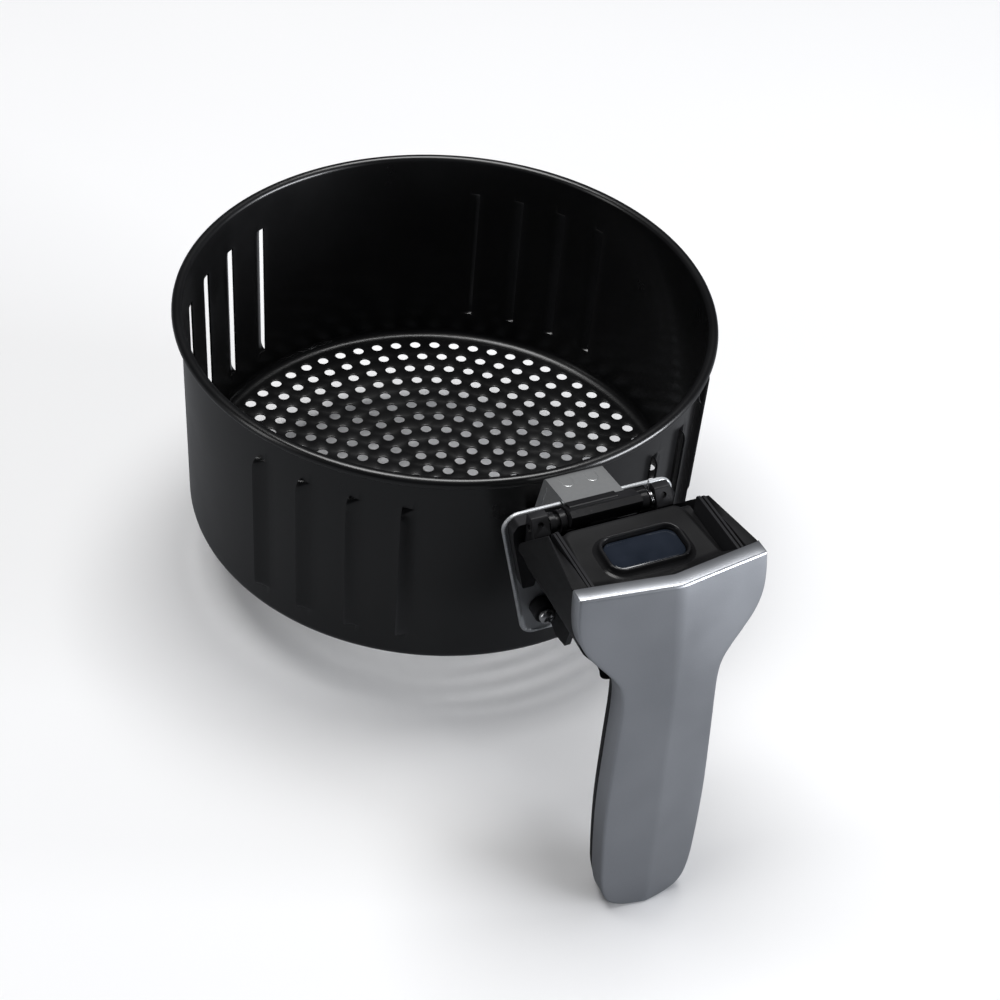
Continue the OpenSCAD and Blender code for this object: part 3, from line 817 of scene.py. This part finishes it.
def bush_screws():
    for side, label in ((-1, "left"), (1, "right")):
        x, z = side * BUSH_X, BUSH_Z
        face = PLATE_OUT + 7.0
        head = [(0.0, -9.7), (1.3, -9.7), (1.65, -9.3), (1.65, 0.0), (2.85, 0.0), (3.0, 0.2), (3.0, 1.3),
                (2.7, 2.0), (2.0, 2.45), (1.0, 2.55), (0.0, 2.55)]
        obj = lathe("screw", head, 40, out_axis(x, z, face))
        cut(obj, cross_recess(x, z, face + 2.6, 3.2))
        sharpen(obj, 35)
        obj.name = f"bush_screw_{label}"
        finish_piece(obj, ROOT, ["bush_screws"], FASTENER)
        body = [(1.75, 0.1), (3.9, 0.1), (4.15, 0.4), (4.15, 5.4), (3.9, 5.75), (3.4, 5.9), (1.75, 5.9)]
        bush = lathe("bush", body, 48, out_axis(x, z, PLATE_OUT + 1), closed=True)
        bush.name = f"stop_bush_{label}"
        finish_piece(bush, ROOT, ["stop_bushes"], BLACK)


def lever_pin():
    half = cad_box("lever_pin")[1].x - 0.05
    profile = [(0.0, -half), (1.2, -half), (1.48, -half + 0.3), (1.48, half - 0.3), (1.2, half), (0.0, half)]
    obj = lathe("lever_pin_rod", profile, 32, lambda u, v, h: at(h, PIN_OUT + u, PIN_Z + v))
    finish_piece(obj, ROOT, ["lever_pin"], FASTENER)


def carried(node, width, material):
    """A CAD node that stays as it is, with rounded edges."""
    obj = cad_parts[node]
    mod = obj.modifiers.new("round", "BEVEL")
    mod.width = width * MM
    mod.segments = 2
    mod.limit_method = "ANGLE"
    mod.angle_limit = math.radians(40)
    mod.harden_normals = True
    obj.data.shade_smooth()
    sharpen(obj, 35)
    obj.data.materials.clear()
    obj.data.materials.append(material)


bush_screws()
lever_pin()
for fastener in ("weld_nuts", "carrier_screws", "head_screws", "guide_screws", "core_screws", "grip_screws"):
    carried(fastener, 0.12, FASTENER)
carried("grip_core", 0.2, BRACKET)
carried("button_guide", 0.25, BLACK)


# ---------------------------------------------------------------- carrier, lever, springs

CARRIER_NEAR = cad_box("latch_carrier")[0].y
EAR_IN, EAR_OUT = 19.9, 25.9


def pin_hole():
    return disc(PIN_OUT, PIN_Z, 1.55, -40, 40, "across")


def latch_carrier():
    far = CARRIER_NEAR + 4.5
    web = prism(from_rim([(-24, -7), (24, -7), (24, -0.5), (-24, -0.5)]), CARRIER_NEAR, far, "facing")
    parts, cuts = [], []
    for side in (-1, 1):
        leg = rounded_polygon(from_rim([(20.3, -23), (24.6, -23), (30, 1), (30.4, 5), (28.8, 8), (19.9, 8),
                                        (19.9, -1), (17.5, -6)]), [0.8, 0.8, 2, 1, 1.5, 0, 0, 0], 4)
        parts.append(prism([(side * x, z) for x, z in leg], CARRIER_NEAR, far, "facing"))
        ear = rounded_polygon(from_rim([
            (CARRIER_NEAR, -1), (PIN_OUT + 4.5, -1), (PIN_OUT + 4.5, 7.3), (PIN_OUT + 0.6, 12.6),
            (PIN_OUT - 3.0, 12.6), (PIN_OUT - 3.0, 8), (CARRIER_NEAR, 8)]),
            [0.6, 1.5, 1.4, 1.0, 1.0, 0, 1.2], 5)
        lo, hi = sorted((side * EAR_IN, side * EAR_OUT))
        parts.append(prism(ear, lo, hi, "across"))
        # Small round dimple in the slanted face of the ear
        x = side * (EAR_IN + EAR_OUT) / 2
        out, z = PIN_OUT + 2.2, RIM_Z + 10.4
        cuts.append(tube("cut", [at(x, out + 0.8, z + 0.6), at(x, out - 0.56, z - 0.42)], 1.1, 20))
        cuts.append(disc(side * EAR_SCREW_X, EAR_SCREW_Z, 1.55, CARRIER_NEAR - 1, PLATE_OUT + 9.5, sides=24))
    obj = union(web, parts)
    cut(obj, cuts + [pin_hole()])
    soften(obj, 0.4)
    obj.name = "latch_carrier_moulding"
    finish_piece(obj, ROOT, ["latch_carrier"], BLACK)


def latch_lever():
    half = cad_box("latch_lever")[1].x
    barrel = []
    for lo, hi, r in ((-half, half, 2.6), (-half, 2.2 - half, 3.7), (-15.7, -13.4, 3.9), (13.4, 17.0, 3.9),
                      (-13.1, 13.1, 3.6)):
        barrel.append(disc(PIN_OUT, PIN_Z, r, lo, hi, "across", 48))
    strip = from_pin([(-3.2, 1.0), (2, -1.0), (5.2, 1.4), (5.3, 5.3), (3.0, 6.4), (-3.0, 3.9)])
    barrel.append(prism(strip, -13.2, 13.2, "across"))
    hump = from_pin([(-3.4, 1.0), (1.4, 2.0), (1.2, 6.3), (-3.2, 4.9)])
    barrel.append(prism(rounded_polygon(hump, [0, 0, 0.9, 0.9], 4), -12.0, 6.0, "across"))
    tail = from_pin([(-3.0, 0), (0.4, 0), (0.4, 5.0), (-2.6, 4.0)])
    barrel.append(prism(rounded_polygon(tail, [0, 0, 0.9, 0.9], 4), 12.0, 16.8, "across"))
    arm = [(PIN_OUT, PIN_Z - 3.7)] + from_rim([(168, 3.8), (168, 8), (158.5, 8), (156.5, 6.8), (136.5, 6.8)])
    barrel.append(prism(arm + [(PIN_OUT + 3, PIN_Z)], -5, 5, "across"))
    hook = from_pin([(0, -2.4), (0, -6.6)])
    hook += from_rim([(118, 1.4), (118, -7), (120.6, -8.2), (120.6, -11), (115, -11), (115, 4.4)])
    barrel.append(prism(hook, -6, 6, "across"))
    obj = union(barrel[0], barrel[1:])
    cut(obj, [pin_hole()])
    soften(obj, 0.3)
    obj.name = "latch_lever_bar"
    finish_piece(obj, LEVER, ["latch_lever"], BLACK_GLOSS)


def helix(radius, wire, height, turns, leg=0.0):
    """Points of a coil along +h as (u, v, h), with a straight leg at its end."""
    count = int(turns * 32)
    points = []
    for i in range(count + 1):
        a = 2 * math.pi * turns * i / count
        points.append((radius * math.cos(a), radius * math.sin(a), wire / 2 + (height - wire) * i / count))
    if leg:
        u, v = -math.sin(2 * math.pi * turns), math.cos(2 * math.pi * turns)
        end = points[-1]
        points += [(end[0] + u * leg * k / 4, end[1] + v * leg * k / 4, end[2]) for k in range(1, 5)]
    return points


def springs():
    lo = cad_box("latch_spring")[0]
    coil = helix(3.05, 0.5, 1.9, 2.25, 5.4)
    wire = tube("lever_torsion_spring", [at(lo.x + h, PIN_OUT - v, PIN_Z - u) for u, v, h in coil], 0.25)
    finish_piece(wire, ROOT, ["latch_spring"], SPRING_WIRE)
    lo, hi = cad_box("button_spring")
    height = hi.z - lo.z
    for side, label in ((-1, "left"), (1, "right")):
        x = side * (hi.x - 2.25)
        coil = tube("coil", [up_axis(x, BUTTON_OUT, lo.z)(*p) for p in helix(2.0, 0.5, height, 4.0)], 0.25)
        coil.name = f"button_spring_{label}"
        finish_piece(coil, ROOT, ["button_spring"], SPRING_WIRE)
        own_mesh(coil)


latch_carrier()
latch_lever()
springs()


# ---------------------------------------------------------------- cover and grip


def front_out(z):
    """Front crease of the cover: straight down the grip, curving back at the head."""
    return 202.2 - 0.073 * (z + 27) - 0.00125 * max(0.0, z - 60) ** 2


def fold(x):
    """How far a half of the cover falls back at a distance from the crease."""
    return FACET * (math.hypot(x, 0.35) - 0.35)


def on_face(x, z, depth):
    """Point at a depth behind the front face."""
    return at(x, front_out(z) - fold(x) - depth, z)


EDGE = [(33.2, COVER_TOP), (33.6, RIM_Z + 16), (32.8, RIM_Z + 9), (30.2, RIM_Z + 3), (26.4, RIM_Z - 2),
        (22.2, RIM_Z - 7), (19.2, RIM_Z - 11.5), (17.8, RIM_Z - 17), (17.6, RIM_Z - 26), (18.3, RIM_Z - 46),
        (19.0, RIM_Z - 72), (18.4, RIM_Z - 96), (17.2, GRIP_END + 11.5), (14.5, GRIP_END + 4),
        (9.0, GRIP_END + 0.8), (0.0, GRIP_END)]


def spline(points, steps):
    """Smooth curve through points."""
    result = []
    for i in range(len(points) - 1):
        a, b = Vector(points[max(i - 1, 0)]), Vector(points[i])
        c, d = Vector(points[i + 1]), Vector(points[min(i + 2, len(points) - 1)])
        for k in range(steps):
            t = k / steps
            result.append(tuple(0.5 * (2 * b + (c - a) * t + (2 * a - 5 * b + 4 * c - d) * t * t
                                       + (3 * b - a - 3 * c + d) * t**3)))
    result.append(tuple(points[-1]))
    return result


def half_edge(top, corner):
    """Right edge of the cover from its top corner down to the middle of its end."""
    curve = spline(EDGE, 6)
    a, b = next((a, b) for a, b in zip(curve, curve[1:]) if a[1] >= top >= b[1])
    x_top = lerp(a[0], b[0], (a[1] - top) / (a[1] - b[1]))
    rounding = arc(x_top - corner, top - corner, corner, 90, 0, 5)
    return rounding + [p for p in curve if p[1] < top - corner - 0.2]


# Points across each half of a folded skin
ROW = 14


def folded_loop(right, inset, crown=0.0):
    """Closed loop: right edge downwards, left edge upwards, then back along the top."""
    closed = right + [(-x, z) for x, z in right[-2::-1]]
    left_x, right_x = closed[-1][0], closed[0][0]
    top = right[0][1]
    across = [(lerp(left_x, right_x, k / (2 * ROW)), top) for k in range(1, 2 * ROW)]
    loop = closed + across
    moved = inset_loop(loop, inset) if inset else loop
    lift = [crown * max(0, 1 - (x / right_x) ** 2) * smooth(top - 6, top, z) for x, z in moved]
    return [(0.0 if abs(x) < 1e-6 else x, z + up) for (x, z), up in zip(moved, lift)]


def skin_rows(loop, count, depth_of, verts, faces, start):
    """Fills a symmetric loop with rows across; start is the index of the loop's first vertex."""
    right = list(range(count))
    left = [2 * (count - 1) - i for i in range(count)]
    columns = 2 * ROW
    previous = [left[0]] + [2 * count - 1 + k for k in range(columns - 1)] + [right[0]]
    previous = [start + i for i in previous]
    for i in range(1, count):
        if i == count - 1:
            tip = start + right[i]
            for k in range(columns):
                faces.append([previous[k], previous[k + 1], tip])
            break
        xl, z = loop[left[i]]
        xr, _ = loop[right[i]]
        row = [start + left[i]]
        for k in range(1, columns):
            x = lerp(xl, xr, k / columns)
            row.append(len(verts))
            verts.append(depth_of(x, z))
        row.append(start + right[i])
        for k in range(columns):
            faces.append([previous[k], previous[k + 1], row[k + 1], row[k]])
        previous = row


def folded_shell(name, right, profile, crown=0.0):
    """Solid skin: profile is (inset, depth) rings, where a depth may depend on z; the first and the last
    are filled with rows."""
    def place(x, z, depth):
        return on_face(x, z, depth(z) if callable(depth) else depth)

    verts, faces = [], []
    count = len(right)
    loops = [folded_loop(right, inset, crown) for inset, _ in profile]
    n = len(loops[0])
    for loop, (_, depth) in zip(loops, profile):
        verts += [place(x, z, depth) for x, z in loop]
    for i in range(len(loops) - 1):
        a, b = i * n, (i + 1) * n
        faces += [[a + k, a + (k + 1) % n, b + (k + 1) % n, b + k] for k in range(n)]
    for which in (0, len(loops) - 1):
        depth = profile[which][1]
        skin_rows(loops[which], count, lambda x, z: place(x, z, depth), verts, faces, which * n)
    return new_object(name, verts, faces)


def cover_depth(z):
    """Depth of the painted cover: shallow at the head, deeper along the grip."""
    return lerp(8.0, 5.6, smooth(RIM_Z - 14, RIM_Z + 4, z))


def front_cover():
    profile = [(1.0, 0.0), (0.6, 0.05), (0.29, 0.2), (0.08, 0.47), (0.0, 0.85),
               (0.0, lambda z: cover_depth(z) - 0.35), (0.12, lambda z: cover_depth(z) - 0.1),
               (0.35, cover_depth), (1.6, cover_depth), (1.8, lambda z: cover_depth(z) - 0.2),
               (1.9, 2.4), (2.4, 2.0)]
    right = half_edge(COVER_TOP - 0.3, 0.7)
    obj = folded_shell("painted_front_cover", right, profile, 0.25)
    finish_piece(obj, ROOT, ["front_cover"], SILVER)


SHELL_TOP = RIM_Z - 11.2


def grip_back_shell():
    def start(z):
        return cover_depth(z) + 0.25

    profile = [(2.5, start), (0.75, start), (0.62, lambda z: start(z) + 0.15),
               (0.6, lambda z: start(z) + 0.8),
               (0.75, 10.2), (1.3, 12.2), (2.3, 13.8), (3.6, 14.9), (5.2, 15.6), (7.0, 15.85)]
    right = half_edge(SHELL_TOP, 0.8)
    obj = folded_shell("grip_back_half", right, profile)
    cut(obj, [disc(0, z, 3.15, front_out(z) - 16 - 3, front_out(z) - 13.25) for z in GRIP_SCREWS_Z])
    sharpen(obj, 40)
    finish_piece(obj, ROOT, ["grip_back_shell"], BLACK_GRIP)


front_cover()
grip_back_shell()


# ---------------------------------------------------------------- head

# Side view of the underside and the top edge, front view of the sides, plan of the top edge
UNDERSIDE = from_rim([(131.5, -3.2), (148, -4.6), (160, -10), (169, -17), (176, -22), (190, -24)])
SIDE = from_rim([(17.0, -30), (19.0, -14), (26.0, -5), (30.5, 3), (33.0, 26)])
TOP_EDGE = from_rim([(131.5, 1.2), (151.4, 22.8), (176, 24.2), (192, 24.6)])
EDGE_X = [(131.5, 28.3), (151.4, 29.3), (176.6, 32.9), (192, 33.3)]
GROOVE_X = 28.0
HEAD_REAR = 131.6
SHELL_DEPTH = 16.25


def along(points, key, axis=0):
    """Value of a polyline at a key of its first or second coordinate."""
    for a, b in zip(points, points[1:]):
        if a[axis] <= key <= b[axis]:
            return lerp(a[1 - axis], b[1 - axis], (key - a[axis]) / (b[axis] - a[axis]))
    return points[0][1 - axis] if key < points[0][axis] else points[-1][1 - axis]


UNDER_CURVE = spline(UNDERSIDE, 6)
SIDE_CURVE = spline(SIDE, 6)


def head_section(out, inset):
    """Half of the head's skin at a distance out: from the groove beside the tray down to the middle.
    With an inset it is the inner skin."""
    plan = lerp(28.6, 33.4, (out - 131) / 57)
    top = along(TOP_EDGE, out)
    low = along(UNDER_CURVE, out)
    crease = min(RIM_Z + 3 + (out - 131.5) * 0.424, top - 0.9)
    corner = min(3.2, (top - low) * 0.35)
    edge = along(EDGE_X, out)
    ledge = top - 1.9 * (1 - smooth(152, 170, out)) * smooth(146, 151, out)

    def half(z):
        return min(plan, along(SIDE_CURVE, z, 1)) - inset

    if inset:
        points = [(GROOVE_X, lerp(ledge - 0.5, ledge - 4.6, k / 3)) for k in range(4)]
        below = min(crease, ledge - 5.2)
        points += [(min(GROOVE_X, half(crease)), lerp(ledge - 5.0, below, k / 3)) for k in range(4)]
    else:
        points = [(GROOVE_X, ledge - 0.35), (GROOVE_X + 0.15, ledge),
                  (lerp(GROOVE_X, edge, 0.5), (ledge + top) / 2),
                  (edge - 0.35, top), (edge - 0.08, top - 0.12), (edge, top - 0.4),
                  (lerp(edge, half(crease), 0.5), lerp(top - 0.4, crease, 0.5)), (half(crease), crease)]
    start = min(crease, ledge - 5.2) if inset else crease
    down = 14
    for k in range(1, down + 1):
        z = lerp(start, low + corner, k / down)
        points.append((min(half(z), GROOVE_X) if inset else half(z), z))
    base = half(low + corner)
    for k in range(1, 7):
        a = math.radians(90 * k / 6)
        points.append((base - corner * (1 - math.cos(a)), low + corner * (1 - math.sin(a)) + inset))
    points += [((base - corner) * t, low + inset) for t in (0.66, 0.33, 0.0)]
    return points


def head_front_limit(x, z):
    """Where the head ends: behind the cover, and further back above the grip's shell."""
    depth = lerp(SHELL_DEPTH, cover_depth(z) + 0.15, smooth(RIM_Z - 11.4, RIM_Z - 9.0, z))
    return front_out(z) - fold(x) - depth


def head_shell():
    rings = []
    stations = [HEAD_REAR + 1.1 * k for k in range(19)] + [152.5 + 2.0 * k for k in range(20)]
    for out in stations:
        skins = []
        for inset in (0.0, 1.9):
            half = [(x, min(out, head_front_limit(x, min(z, COVER_TOP - 1))), z)
                    for x, z in head_section(out, inset)]
            skins.append(half + [(-x, o, z) for x, o, z in half[-2::-1]])
        rings.append([at(*p) for p in skins[0] + skins[1][::-1]])
    obj = ringed("head_shell", rings, angle=40)
    finish_piece(obj, ROOT, ["head_housing"], BLACK)


def head_rib():
    """Rib and foot that carry the head on the plate."""
    near = PLATE_OUT + 1.05
    rib = from_rim([(near, -7.8), (near, -50), (130, -52), (137, -50.5), (139, -42), (147, -22),
                    (160, -10.6), (160, -9), (148, -3.8), (HEAD_REAR, -2.4), (HEAD_REAR, -7.8)])
    parts = [prism(rib, 6.6, 9.0, "across"), prism(rib, -9.0, -6.6, "across")]
    foot = prism(from_rim([(-9, -50), (9, -50), (9, -8), (-9, -8)]), near, near + 3, "facing")
    for side in (-1, 1):
        parts += [disc(side * HEAD_SCREW_X, z, 3.2, near, PLATE_OUT + 12) for z in HEAD_SCREWS_Z]
    obj = union(foot, parts)
    soften(obj, 0.5)
    obj.name = "head_rib"
    finish_piece(obj, ROOT, ["head_housing"], BLACK)


def tray_limit(x):
    """How far out the tray reaches: just behind the folded cover."""
    return front_out(RIM_Z + 22) - fold(x) - 5.85


def platform_edge(x, out):
    """Signed distance from the platform's outline, negative inside; its rear corners are rounded."""
    half = lerp(21.9, 24.2, min(max((out - 148) / 24, 0), 1))
    rear, r = 146.2, 3.6
    dx, dy = abs(x) - (half - r), (rear + r) - out
    if dx > 0 and dy > 0:
        return math.hypot(dx, dy) - r
    return max(dx, dy) - r


def tray_height(x, out):
    """Top surface: platform, low strips beside it, skirt behind it and the rise towards the cover."""
    skirt = lerp(RIM_Z + 9.2, TRAY_Z - 2.3, smooth(140.0, 147.6, out))
    z = lerp(TRAY_Z, skirt, smooth(-1.1, 1.5, platform_edge(x, out)))
    return lerp(z, TRAY_Z + 5.6, smooth(8.5, 0.8, tray_limit(x) - out))


def head_tray():
    """Platform with rounded rear corners, valleys beside it, and its front rising to the cover."""
    xs = [0, 3, 6, 9, 12, 15, 17, 18.2, 19, 19.6, 20.2, 20.7, 21.2, 21.6, 22, 22.4, 22.8, 23.2, 23.6, 24,
          24.4, 24.8, 25.2, 25.7]
    xs = [-x for x in xs[:0:-1]] + xs
    rear = [140.8 + 0.5 * k for k in range(25)] + [154 + 1.5 * k for k in range(8)]
    rows = [[(x, out) for x in xs] for out in rear]
    rows += [[(x, lerp(rear[-1], tray_limit(x), k / 20)) for x in xs] for k in range(1, 21)]
    count, total = len(xs), len(rows) * len(xs)
    verts = [at(x, out, tray_height(x, out)) for row in rows for x, out in row]
    verts += [at(x, out, tray_height(x, out) - 1.7) for row in rows for x, out in row]
    faces = []
    for i in range(len(rows) - 1):
        for k in range(count - 1):
            a = i * count + k
            quad = [a, a + 1, a + count + 1, a + count]
            faces += [quad, [v + total for v in quad]]
    ring = list(range(count)) + [i * count + count - 1 for i in range(1, len(rows))]
    ring += [(len(rows) - 1) * count + k for k in range(count - 2, -1, -1)]
    ring += [i * count for i in range(len(rows) - 2, 0, -1)]
    for a, b in zip(ring, ring[1:] + ring[:1]):
        faces.append([a, b, b + total, a + total])
    obj = new_object("tray", verts, faces, 55)
    hole = button_outline(0.8, 4.3, steps=8)
    cut(obj, [prism(hole, TRAY_Z - 6, TRAY_Z + 6, "flat")])
    sharpen(obj, 55)
    obj.name = "tray_platform"
    finish_piece(obj, ROOT, ["head_tray"], BLACK)


def button_collar():
    """Narrow raised rim round the button."""
    profile = [(0.0, -1.8), (0.0, 1.7), (0.12, 2.15), (0.4, 2.45), (0.7, 2.5), (1.0, 2.38), (1.22, 2.0),
               (1.4, 1.3), (1.75, 0.62), (2.3, 0.2), (3.0, 0.03), (3.6, -0.4), (2.4, -1.8)]
    base = button_outline(0.7, 4.2)
    loops = []
    for grow, h in profile:
        slope = 0.03 if h > 1 else 0.0
        loop = inset_loop(base, -grow) if grow else base
        loops.append([at(x, out, TRAY_Z + h + slope * (BUTTON_OUT - out)) for x, out in loop])
    obj = ringed("button_collar", loops, closed=True, angle=60)
    finish_piece(obj, ROOT, ["head_tray"], BLACK_GLOSS)


def side_rails():
    """A rib on each side of the tray, with a shallow groove along its top."""
    for side, label in ((-1, "left"), (1, "right")):
        ridges = []
        for x0, x1, rear, top in ((25.4, 26.3, 149.8, 22.9), (26.8, 27.6, 150.4, 23.2),
                                  (25.6, 27.4, 150.0, 22.3)):
            points = rounded_polygon(from_rim([(rear, 10), (rear, top), (184, top + 0.7), (184, 12)]),
                                     [0, 1.6, 0, 0], 5)
            lo, hi = sorted((side * x0, side * x1))
            ridges.append(prism(points, lo, hi, "across"))
        obj = union(ridges[0], ridges[1:])
        front = tray_limit(26.5)
        trim = prism([(side * 20, front), (side * 30, front - 10 * FACET), (side * 30, front + 30),
                      (side * 20, front + 30)], RIM_Z - 5, RIM_Z + 40, "flat")
        cut(obj, [trim])
        soften(obj, 0.22)
        obj.name = f"side_rail_{label}"
        finish_piece(obj, ROOT, ["head_tray"], BLACK)


def release_button():
    lo, hi = cad_box("release_button")
    top, flange = hi.z, RIM_Z + 13.5
    base = button_outline(0, 3.9)
    wide = button_outline(4, 3.2, 3)
    profile = [(wide, 0.0, flange), (wide, 0.0, flange + 1.4), (wide, 0.25, flange + 1.6),
               (base, -0.3, flange + 1.6), (base, 0.0, flange + 1.9), (base, 0.0, top - 0.7),
               (base, 0.1, top - 0.4), (base, 0.35, top - 0.18), (base, 0.8, top - 0.08),
               (base, 1.8, top - 0.03), (base, 3.2, top)]
    loops = [[at(x, out, z) for x, out in (inset_loop(loop, inset) if inset else loop)]
             for loop, inset, z in profile]
    obj = ringed("button", loops, angle=50)
    # The stem ends just above the lever, so that it stays clear when the button is pressed
    union(obj, [disc(0, BUTTON_OUT, 3.0, lo.z + 0.45, flange + 0.8, "flat")])
    line = tube("cut", [at(0.2, BUTTON_OUT - 5.6, top + 0.08), at(0.2, BUTTON_OUT, top + 0.08)], 0.16, 8)
    cut(obj, [line])
    sharpen(obj, 50)
    obj.name = "release_button_cap"
    finish_piece(obj, BUTTON, ["release_button"], GLOSS)


head_shell()
head_rib()
head_tray()
button_collar()
side_rails()
release_button()


# ---------------------------------------------------------------- studio and camera


def stage_floor():
    """Pale floor just below the grip. Reflections and bounced light see it darker than the camera does,
    so that the black coating stays black."""
    size, z = 1900.0, GRIP_END - 0.1
    verts = [(-size, -size, z), (size, -size, z), (size, size, z), (-size, size, z)]
    obj = new_object("floor", verts, [[0, 1, 2, 3]])
    n = Nodes("pale_floor")
    shade = n.mix(n.noise(3, 2), (0.88, 0.88, 0.89), (0.92, 0.92, 0.92))
    seen = n.add("ShaderNodeLightPath").outputs["Is Camera Ray"]
    n.set(Base_Color=n.mix(seen, (0.20, 0.205, 0.215), shade), Roughness=0.9, Specular_IOR_Level=0.0)
    obj.data.materials.append(n.material)


def softbox(name, place, target, width, height, power, colour=(1, 1, 1)):
    light = bpy.data.lights.new(name, "AREA")
    light.shape = "RECTANGLE"
    light.size, light.size_y = width, height
    light.energy = power
    light.color = colour
    obj = bpy.data.objects.new(name, light)
    bpy.context.scene.collection.objects.link(obj)
    obj.location = place
    obj.rotation_mode = "QUATERNION"
    obj.rotation_quaternion = (Vector(target) - Vector(place)).to_track_quat("-Z", "Y")


def studio():
    world = bpy.data.worlds.new("studio")
    bpy.context.scene.world = world
    world.use_nodes = True
    tree = world.node_tree
    background = tree.nodes["Background"]
    path = tree.nodes.new("ShaderNodeLightPath")
    pick = tree.nodes.new("ShaderNodeMix")
    pick.data_type = "RGBA"
    pick.inputs[6].default_value = (0.028, 0.029, 0.033, 1)
    pick.inputs[7].default_value = (1, 1, 1, 1)
    tree.links.new(path.outputs["Is Camera Ray"], pick.inputs["Factor"])
    tree.links.new(pick.outputs[2], background.inputs["Color"])
    background.inputs["Strength"].default_value = 1.0
    middle = (0, -0.05, 0.06)
    softbox("top", (0.0, 0.25, 2.1), middle, 1.8, 0.9, 46)
    softbox("right", (1.75, -1.5, 0.30), middle, 1.3, 1.0, 78, (0.94, 0.96, 1.0))
    softbox("left", (-1.7, 0.1, 0.5), middle, 0.4, 1.2, 4)
    bpy.context.scene.view_settings.view_transform = "Standard"


def camera():
    """The viewpoint: the camera's height angle, turn and roll about the rim's centre, and how far beside
    and above its axis it sees that centre."""
    elevation, turn, roll = math.radians(36.516), math.radians(-24.71), math.radians(3.842)
    distance = 6.8282 * RIM_R * MM
    beside, above = math.radians(-1.62908), math.radians(6.02847)
    focal = 1.85
    back = Vector((0, -math.cos(elevation), math.sin(elevation)))
    up = Vector((0, math.sin(elevation), math.cos(elevation)))
    base = Matrix((Vector((1, 0, 0)), up, back)).transposed()
    aim = Vector((math.tan(beside), math.tan(above), -1)).normalized()
    lean = Vector((0, 0, -1)).rotation_difference(aim).to_matrix()
    tilt = Matrix.Rotation(roll, 3, aim)
    turned = Matrix.Rotation(turn, 3, "Z")
    rotation = turned @ base @ (tilt @ lean).transposed()
    data = bpy.data.cameras.new("camera")
    data.sensor_width = 36
    data.lens = focal * 36
    data.clip_start, data.clip_end = 0.01, 50
    obj = bpy.data.objects.new("camera", data)
    bpy.context.scene.collection.objects.link(obj)
    obj.location = turned @ (back * distance) + Vector((0, 0, RIM_Z * MM))
    obj.rotation_mode = "QUATERNION"
    obj.rotation_quaternion = rotation.to_quaternion()
    bpy.context.scene.camera = obj


stage_floor()
studio()
camera()
